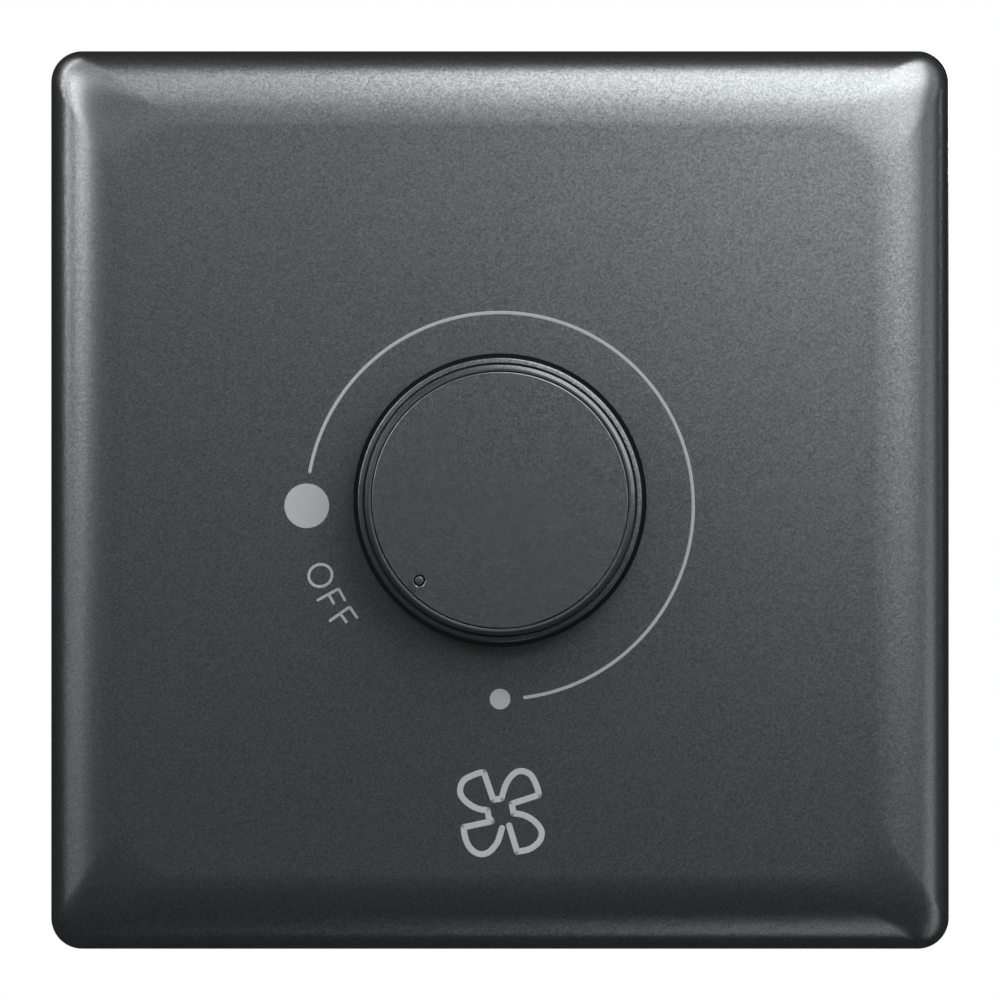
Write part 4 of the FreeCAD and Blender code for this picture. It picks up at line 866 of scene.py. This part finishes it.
class FAN_OT_knob_barrel(bpy.types.Operator):
    """Makes the knob's body with its tapered side, front edge, web and hub"""
    bl_idname = "fan.knob_barrel"
    bl_label = "Knob Body"

    def execute(self, context):
        s = context.scene.fan_knob
        # Satin lacquer sprayed on black ABS from the front: the side stays matt black, and that black is
        # also painted shade, seen as a dark ring round the knob and in the groove by the trim ring
        paint = flake_paint("Satin grey lacquer on black ABS", s.land_colour, bare_and_shade=s.bare_and_shade, **BODY_SPRAY)
        outer, end = barrel_high.x, barrel_high.y
        land = ring_low.y + s.land_sink
        seat = ring_high.y
        web = seat + 1.4 * MM
        wall = 1.7 * MM
        hub_radius, bore_radius, bore_front = 5.0 * MM, 3.03 * MM, web - 0.35 * MM
        bm = bmesh.new()
        lathe(bm, [
            (0, seat), (s.land_in, seat), (s.land_in, land), (s.land_out, land + s.land_slope, s.edge_round),
            (outer, KNOB_BASE_Y, s.edge_round), (outer - wall, KNOB_BASE_Y), (s.land_out - wall, web),
            (hub_radius, web), (hub_radius, end), (bore_radius, end), (bore_radius, bore_front),
            (0, bore_front),
        ], s.segments)
        root = web - 0.5 * MM
        rib_half, rib_in, rib_out, rib_back, ribs = 0.5 * MM, 4.5 * MM, 12.4 * MM, web + 2.4 * MM, 6
        for step in range(ribs):
            angle = OFF_ANGLE + 360 / ribs * step
            add_block(bm, (-rib_half, root, rib_in), (rib_half, rib_back, rib_out), angle)
        # Flat of the hub's bore, for the shaft's D end
        flat_half, flat_in, flat_out = 2.6 * MM, 1.53 * MM, 3.2 * MM
        add_block(bm, (-flat_half, root, flat_in), (flat_half, end, flat_out), OFF_ANGLE)
        barrel = mesh_object("knob_body", bm, paint)
        even_normals(barrel)
        placed(barrel, KNOB_BODY, "knob", "knob_barrel")
        return {"FINISHED"}


class FAN_OT_knob_ring(bpy.types.Operator):
    """Makes the narrow trim ring round the knob's front"""
    bl_idname = "fan.knob_ring"
    bl_label = "Trim Ring"

    def execute(self, context):
        s = context.scene.fan_knob
        # The same lacquer, sprayed smoother on a separate ring: its two thin edges catch the light, and its
        # black sides are painted shade in the grooves on either side
        paint = flake_paint("Satin grey lacquer on trim", s.colour, bare_and_shade=s.bare_and_shade, **TRIM_SPRAY)
        front, back = ring_low.y, ring_high.y
        outer_round, crest_round, inner_round = 0.03 * MM, 0.05 * MM, 0.02 * MM
        bm = bmesh.new()
        lathe(bm, [
            (s.ring_in, back), (s.ring_out, back), (s.ring_out, front + s.ring_slope, outer_round),
            (s.ring_crest, front, crest_round), (s.ring_in, front, inner_round),
        ], s.segments)
        ring = mesh_object("trim_ring", bm, paint)
        # The same lacquer in a darker shade on the sloping outer band
        ring.data.materials.append(flake_paint(
            "Dark satin lacquer on trim slope", s.slope_colour, bare_and_shade=s.bare_and_shade, **TRIM_SPRAY))
        for face in ring.data.polygons:
            if math.hypot(face.center.x, face.center.z) > s.ring_crest:
                face.material_index = 1
        even_normals(ring)
        placed(ring, KNOB_BODY, "knob_trim", "knob_ring")
        return {"FINISHED"}


class FAN_OT_knob_cap(bpy.types.Operator):
    """Makes the knob's flat front with its bevelled edge and the pointer's hole"""
    bl_idname = "fan.knob_cap"
    bl_label = "Knob Cap"

    def execute(self, context):
        s = context.scene.fan_knob
        # Satin lacquer on a flat moulding: the evenest of the three knob pieces; its black rim side is
        # painted shade in the groove inside the trim ring
        paint = flake_paint("Satin grey lacquer on cap", s.colour, bare_and_shade=s.bare_and_shade, **BODY_SPRAY)
        front, rim_back = cap_low.y, ring_high.y
        back = front + 1.1 * MM
        edge, edge_round = s.face_radius, 0.12 * MM
        inner = edge - 0.75 * MM
        bm = bmesh.new()
        lathe(bm, [
            (0, front), (edge, front, edge_round), (edge, rim_back), (inner, rim_back), (inner, back),
            (0, back),
        ], s.segments)
        cap = mesh_object("knob_face", bm, paint)
        # The hole's bevel leans more than SHARP_ANGLE, so that the flat front keeps its own shading
        over, bevel, lean = 1 * MM, 0.05 * MM, 1.4
        hole = s.pointer_hole
        drill = bmesh.new()
        lathe(drill, [
            (0, front - over), (hole + lean * (bevel + over), front - over), (hole, front + bevel),
            (hole, back + over), (0, back + over),
        ], 64, clock_point(0, s.pointer_radius, OFF_ANGLE))
        cut_away(cap, [mesh_object("drill", drill, paint)])
        whole = bmesh.new()
        whole.from_mesh(cap.data)
        peg_circle, peg_radius, peg_root, pegs = 8.0 * MM, 1.0 * MM, back - 0.5 * MM, 3
        for step in range(pegs):
            place = clock_point(0, peg_circle, 360 / pegs * (step + 1 / 4) + OFF_ANGLE)
            add_tube(whole, 0, peg_radius, peg_root, cap_high.y, 32, place)
        whole.to_mesh(cap.data)
        whole.free()
        even_normals(cap)
        placed(cap, KNOB_BODY, "knob", "knob_cap")
        return {"FINISHED"}


class FAN_OT_pointer(bpy.types.Operator):
    """Makes the small pin that shows the knob's place"""
    bl_idname = "fan.pointer"
    bl_label = "Pointer Pin"

    def execute(self, context):
        s = context.scene.fan_knob
        # Lacquered pin end: its rounded rim catches the light at the upper right
        paint = flake_paint("Satin grey lacquer on pin", s.colour, **TRIM_SPRAY)
        low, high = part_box("pointer_pin")
        radius, rim_round = s.pin_radius, 0.07 * MM
        bm = bmesh.new()
        lathe(bm, [
            (0, low.y), (radius, low.y, rim_round), (radius, high.y), (0, high.y),
        ], 48, clock_point(0, s.pointer_radius, OFF_ANGLE))
        pin = mesh_object("pointer", bm, paint)
        even_normals(pin)
        placed(pin, KNOB_BODY, "pointer_metal", "pointer_pin")
        return {"FINISHED"}


class FAN_OT_dial(bpy.types.Operator):
    """Prints the arc, its two dots and the word OFF on the face plate"""
    bl_idname = "fan.dial"
    bl_label = "Printed Dial"

    def execute(self, context):
        s = context.scene.fan_dial
        ink = print_ink(s.colour)
        tree = ink_tree()
        centre = (0.0, -s.drop)
        steps = 160
        arc = []
        for step in range(steps + 1):
            angle = s.arc_start + (s.arc_end - s.arc_start) * step / steps
            arc.append((s.radius * math.cos(angle), s.radius * math.sin(angle)))
        pieces = [printed_lines("arc", [arc], s.line, centre, ink, tree)]
        for direction, radius in ((180.0, s.fast_dot), (270.0, s.slow_dot)):
            turn = math.radians(direction)
            x, z = s.radius * math.cos(turn), -s.drop + s.radius * math.sin(turn)
            bm = bmesh.new()
            add_tube(bm, 0, radius, FACE_Y - s.ink, FACE_Y + s.ink, 72, (x, z))
            pieces.append(mesh_object("dot", bm, ink))
        pieces.append(printed_lines("letters", self.letters(s), s.letter_line, (0.0, 0.0), ink, tree))
        dial = joined_pieces("dial_print", pieces, ink)
        placed(dial, FIXED_BODY, "")
        return {"FINISHED"}

    def letters(self, s):
        """Runs of the word OFF, set round the knob's axis with the letters' tops towards it."""
        half = (s.letter_height - s.letter_line) / 2
        oval_half, steps = 1.06 * MM, 48
        upper_arm, lower_arm, arm_rise = 1.24 * MM, 0.99 * MM, 0.04 * MM
        oval = []
        for step in range(steps + 1):
            turn = 2 * math.pi * (step % steps) / steps
            oval.append((oval_half * math.cos(turn), half * math.sin(turn)))
        strokes = [
            [(0.0, -half), (0.0, half)],
            [(0.0, half), (upper_arm, half)],
            [(0.0, arm_rise), (lower_arm, arm_rise)],
        ]
        runs = []
        # Direction of each letter in degrees, its shift outwards and its strokes
        for direction, shift, letter in (
            (202.8, -0.11 * MM, [oval]),
            (208.8, 0.0, strokes),
            (215.4, 0.04 * MM, strokes),
        ):
            turn = math.radians(direction)
            middle = (s.letter_radius + shift) * Vector((math.cos(turn), math.sin(turn)))
            up = -middle.normalized()
            along = Vector((up.y, -up.x))
            for run in letter:
                placed_run = [middle + along * u + up * v for u, v in run]
                runs.append([tuple(point) for point in placed_run])
        return runs


class FAN_OT_sign(bpy.types.Operator):
    """Prints the plain fan sign under the dial"""
    bl_idname = "fan.sign"
    bl_label = "Fan Sign"

    def execute(self, context):
        s = context.scene.fan_dial
        ink = bpy.data.materials["Grey screen-printing ink"]
        tree = bpy.data.node_groups["Printed line"]
        runs = []
        for edge, sweep in SIGN_BLADES:
            runs.append(in_metres(edge))
            runs.append(smooth_run(in_metres(sweep)))
        for link in SIGN_LINKS:
            runs.append(in_metres(link))
        lines = printed_lines("lines", runs, s.sign_line, (0.0, -s.sign_drop), ink, tree)
        sign = joined_pieces("fan_sign", [lines], ink)
        placed(sign, FIXED_BODY, "")
        return {"FINISHED"}


class FAN_OT_hidden_finishes(bpy.types.Operator):
    """Gives every piece behind the plate its own material"""
    bl_idname = "fan.hidden_finishes"
    bl_label = "Module Finishes"

    def execute(self, context):
        for name, (nodes, spec) in FINISHES.items():
            material = finish_material(name, **spec)
            for node in nodes:
                mesh = NODES[node].data
                mesh.materials.clear()
                mesh.materials.append(material)
        return {"FINISHED"}


class FAN_OT_stage(bpy.types.Operator):
    """Sets the floor, the studio walls, the lamps, the world and the camera"""
    bl_idname = "fan.stage"
    bl_label = "Stage"

    def execute(self, context):
        s = context.scene.fan_stage
        context.scene.view_settings.view_transform = "Standard"
        self.world(context)
        self.floor(s)
        self.walls()
        self.lamps()
        self.camera(context, s)
        return {"FINISHED"}

    def world(self, context):
        """White for the camera and for mirrors and glass, dim for all else."""
        world = bpy.data.worlds.new("Studio")
        world.use_nodes = True
        tree = world.node_tree
        tree.nodes.clear()
        path = add_node(tree, "ShaderNodeLightPath").outputs
        shown = path["Is Camera Ray"]
        for ray in ("Is Transmission Ray", "Is Glossy Ray"):
            either = add_node(tree, "ShaderNodeMath", {"operation": "MAXIMUM"}, i0=shown, i1=path[ray])
            shown = either.outputs[0]
        strength = add_node(tree, "ShaderNodeMapRange", Value=shown, To_Min=0.25, To_Max=1.0)
        light = add_node(
            tree, "ShaderNodeBackground", Color=(1, 1, 1, 1), Strength=strength.outputs["Result"])
        add_node(tree, "ShaderNodeOutputWorld", Surface=light.outputs["Background"])
        context.scene.world = world

    def floor(self, s):
        """Pale floor under the plate."""
        material, tree = new_material("Pale paper floor")
        shader = add_node(tree, "ShaderNodeBsdfDiffuse", Color=srgb(s.floor_colour))
        add_node(tree, "ShaderNodeOutputMaterial", Surface=shader.outputs["BSDF"])
        reach, back, z = 2.0, 0.33, cad_low.z - s.floor_drop
        bm = bmesh.new()
        corners = [(-reach, -reach, z), (reach, -reach, z), (reach, back, z), (-reach, back, z)]
        bm.faces.new([bm.verts.new(corner) for corner in corners])
        floor = mesh_object("floor", bm, material)
        floor.visible_glossy = False

    def walls(self):
        """Dark studio walls, and a dim card round the camera, that only the reflections see."""
        # Name, brightness and two corners in metres
        for name, shade, low, high in (
            ("studio_walls", 0.0243, (-2.5, -3.0, -2.5), (2.5, 2.0, 2.5)),
            ("front_card", 0.0262, (-0.32, -1.41, -0.32), (0.32, -1.4, 0.32)),
        ):
            material, tree = new_material(name.replace("_", " "))
            shader = add_node(tree, "ShaderNodeEmission", Color=(1, 1, 1, 1), Strength=shade)
            add_node(tree, "ShaderNodeOutputMaterial", Surface=shader.outputs["Emission"])
            bm = bmesh.new()
            add_block(bm, low, high)
            card = mesh_object(name, bm, material)
            card.visible_camera = False
            card.visible_diffuse = False
            card.visible_transmission = False
            card.visible_shadow = False

    def lamps(self):
        """Soft key light above right, a softbox above left, strips and cards round it and a lamp behind."""
        aim = Vector((0.0, FACE_Y, 0.0))
        # Name, place and size in metres, and power in watts
        lamps = (
            ("key", (0.089, -0.196, 0.201), (0.182, 0.174), 0.3750),
            ("key_side", (0.304, -0.521, 0.070), (0.304, 0.063), 0.1401),
            ("top_card", (-0.057, -0.082, 0.099), (0.166, 0.061), 0.0229),
            ("right_rim", (0.592, -0.057, 0.059), (0.025, 0.065), 0.0184),
            ("left_box", (-0.210, -0.224, 0.111), (0.086, 0.167), 0.1584),
            ("left_rim", (-0.184, -0.094, 0.134), (0.009, 0.277), 0.0813),
            ("right_strip", (0.274, -0.162, -0.010), (0.086, 0.676), 0.1075),
            ("lower_strip", (0.065, -0.286, -0.418), (0.041, 0.201), 0.0354),
            ("left_card", (-0.253, -0.187, -0.022), (0.145, 0.070), 0.0120),
            ("soft_card", (0.098, -0.259, 0.100), (0.173, 0.116), 0.1195),
            ("upper_card", (-0.155, -0.591, 0.100), (0.377, 0.049), 0.0554),
            ("side_card", (0.060, -0.224, 0.025), (0.010, 0.079), 0.0033),
            ("back_fill", (0.220, 0.600, 0.150), (0.200, 0.200), 2.0000),
        )
        for name, place, size, power in lamps:
            data = bpy.data.lights.new(name, "AREA")
            data.shape = "RECTANGLE"
            data.size, data.size_y = size
            data.energy = power
            lamp = linked(name, data)
            lamp.location = place
            lamp.rotation_mode = "QUATERNION"
            lamp.rotation_quaternion = (aim - lamp.location).to_track_quat("-Z", "Y")
            lamp.visible_camera = False

    def camera(self, context, s):
        """Long lens, square on to the plate."""
        data = bpy.data.cameras.new("camera")
        data.sensor_width = 36.0
        data.lens = data.sensor_width * s.camera_distance / s.view_width
        data.clip_start = 0.1
        data.clip_end = 20.0
        camera = linked("camera", data)
        edge = FACE_Y + context.scene.fan_cover.edge_back
        camera.location = (0.0, edge - s.camera_distance, 0.0)
        camera.rotation_euler = (math.radians(90), 0.0, 0.0)
        context.scene.camera = camera


class FAN_PT_panel(bpy.types.Panel):
    """Lists the switch's settings and its operators"""
    bl_idname = "FAN_PT_panel"
    bl_label = "Fan Speed Control"
    bl_space_type = "VIEW_3D"
    bl_region_type = "UI"
    bl_category = "Fan Control"

    def draw(self, context):
        for group in SETTINGS:
            box = self.layout.box()
            settings = getattr(context.scene, group)
            for name in settings.__annotations__:
                box.prop(settings, name)
        for operator in OPERATORS:
            self.layout.operator(operator.bl_idname)


OPERATORS = (
    FAN_OT_cover,
    FAN_OT_knob_barrel,
    FAN_OT_knob_ring,
    FAN_OT_knob_cap,
    FAN_OT_pointer,
    FAN_OT_dial,
    FAN_OT_sign,
    FAN_OT_hidden_finishes,
    FAN_OT_stage,
)
CLASSES = tuple(SETTINGS.values()) + OPERATORS + (FAN_PT_panel,)


def register():
    for item in CLASSES:
        bpy.utils.register_class(item)
    for name, group in SETTINGS.items():
        setattr(bpy.types.Scene, name, PointerProperty(type=group))


def unregister():
    for name in SETTINGS:
        delattr(bpy.types.Scene, name)
    for item in reversed(CLASSES):
        bpy.utils.unregister_class(item)


def main():
    """Builds every piece in order."""
    register()
    for operator in OPERATORS:
        group, name = operator.bl_idname.split(".")
        getattr(getattr(bpy.ops, group), name)()


if __name__ == "__main__":
    main()
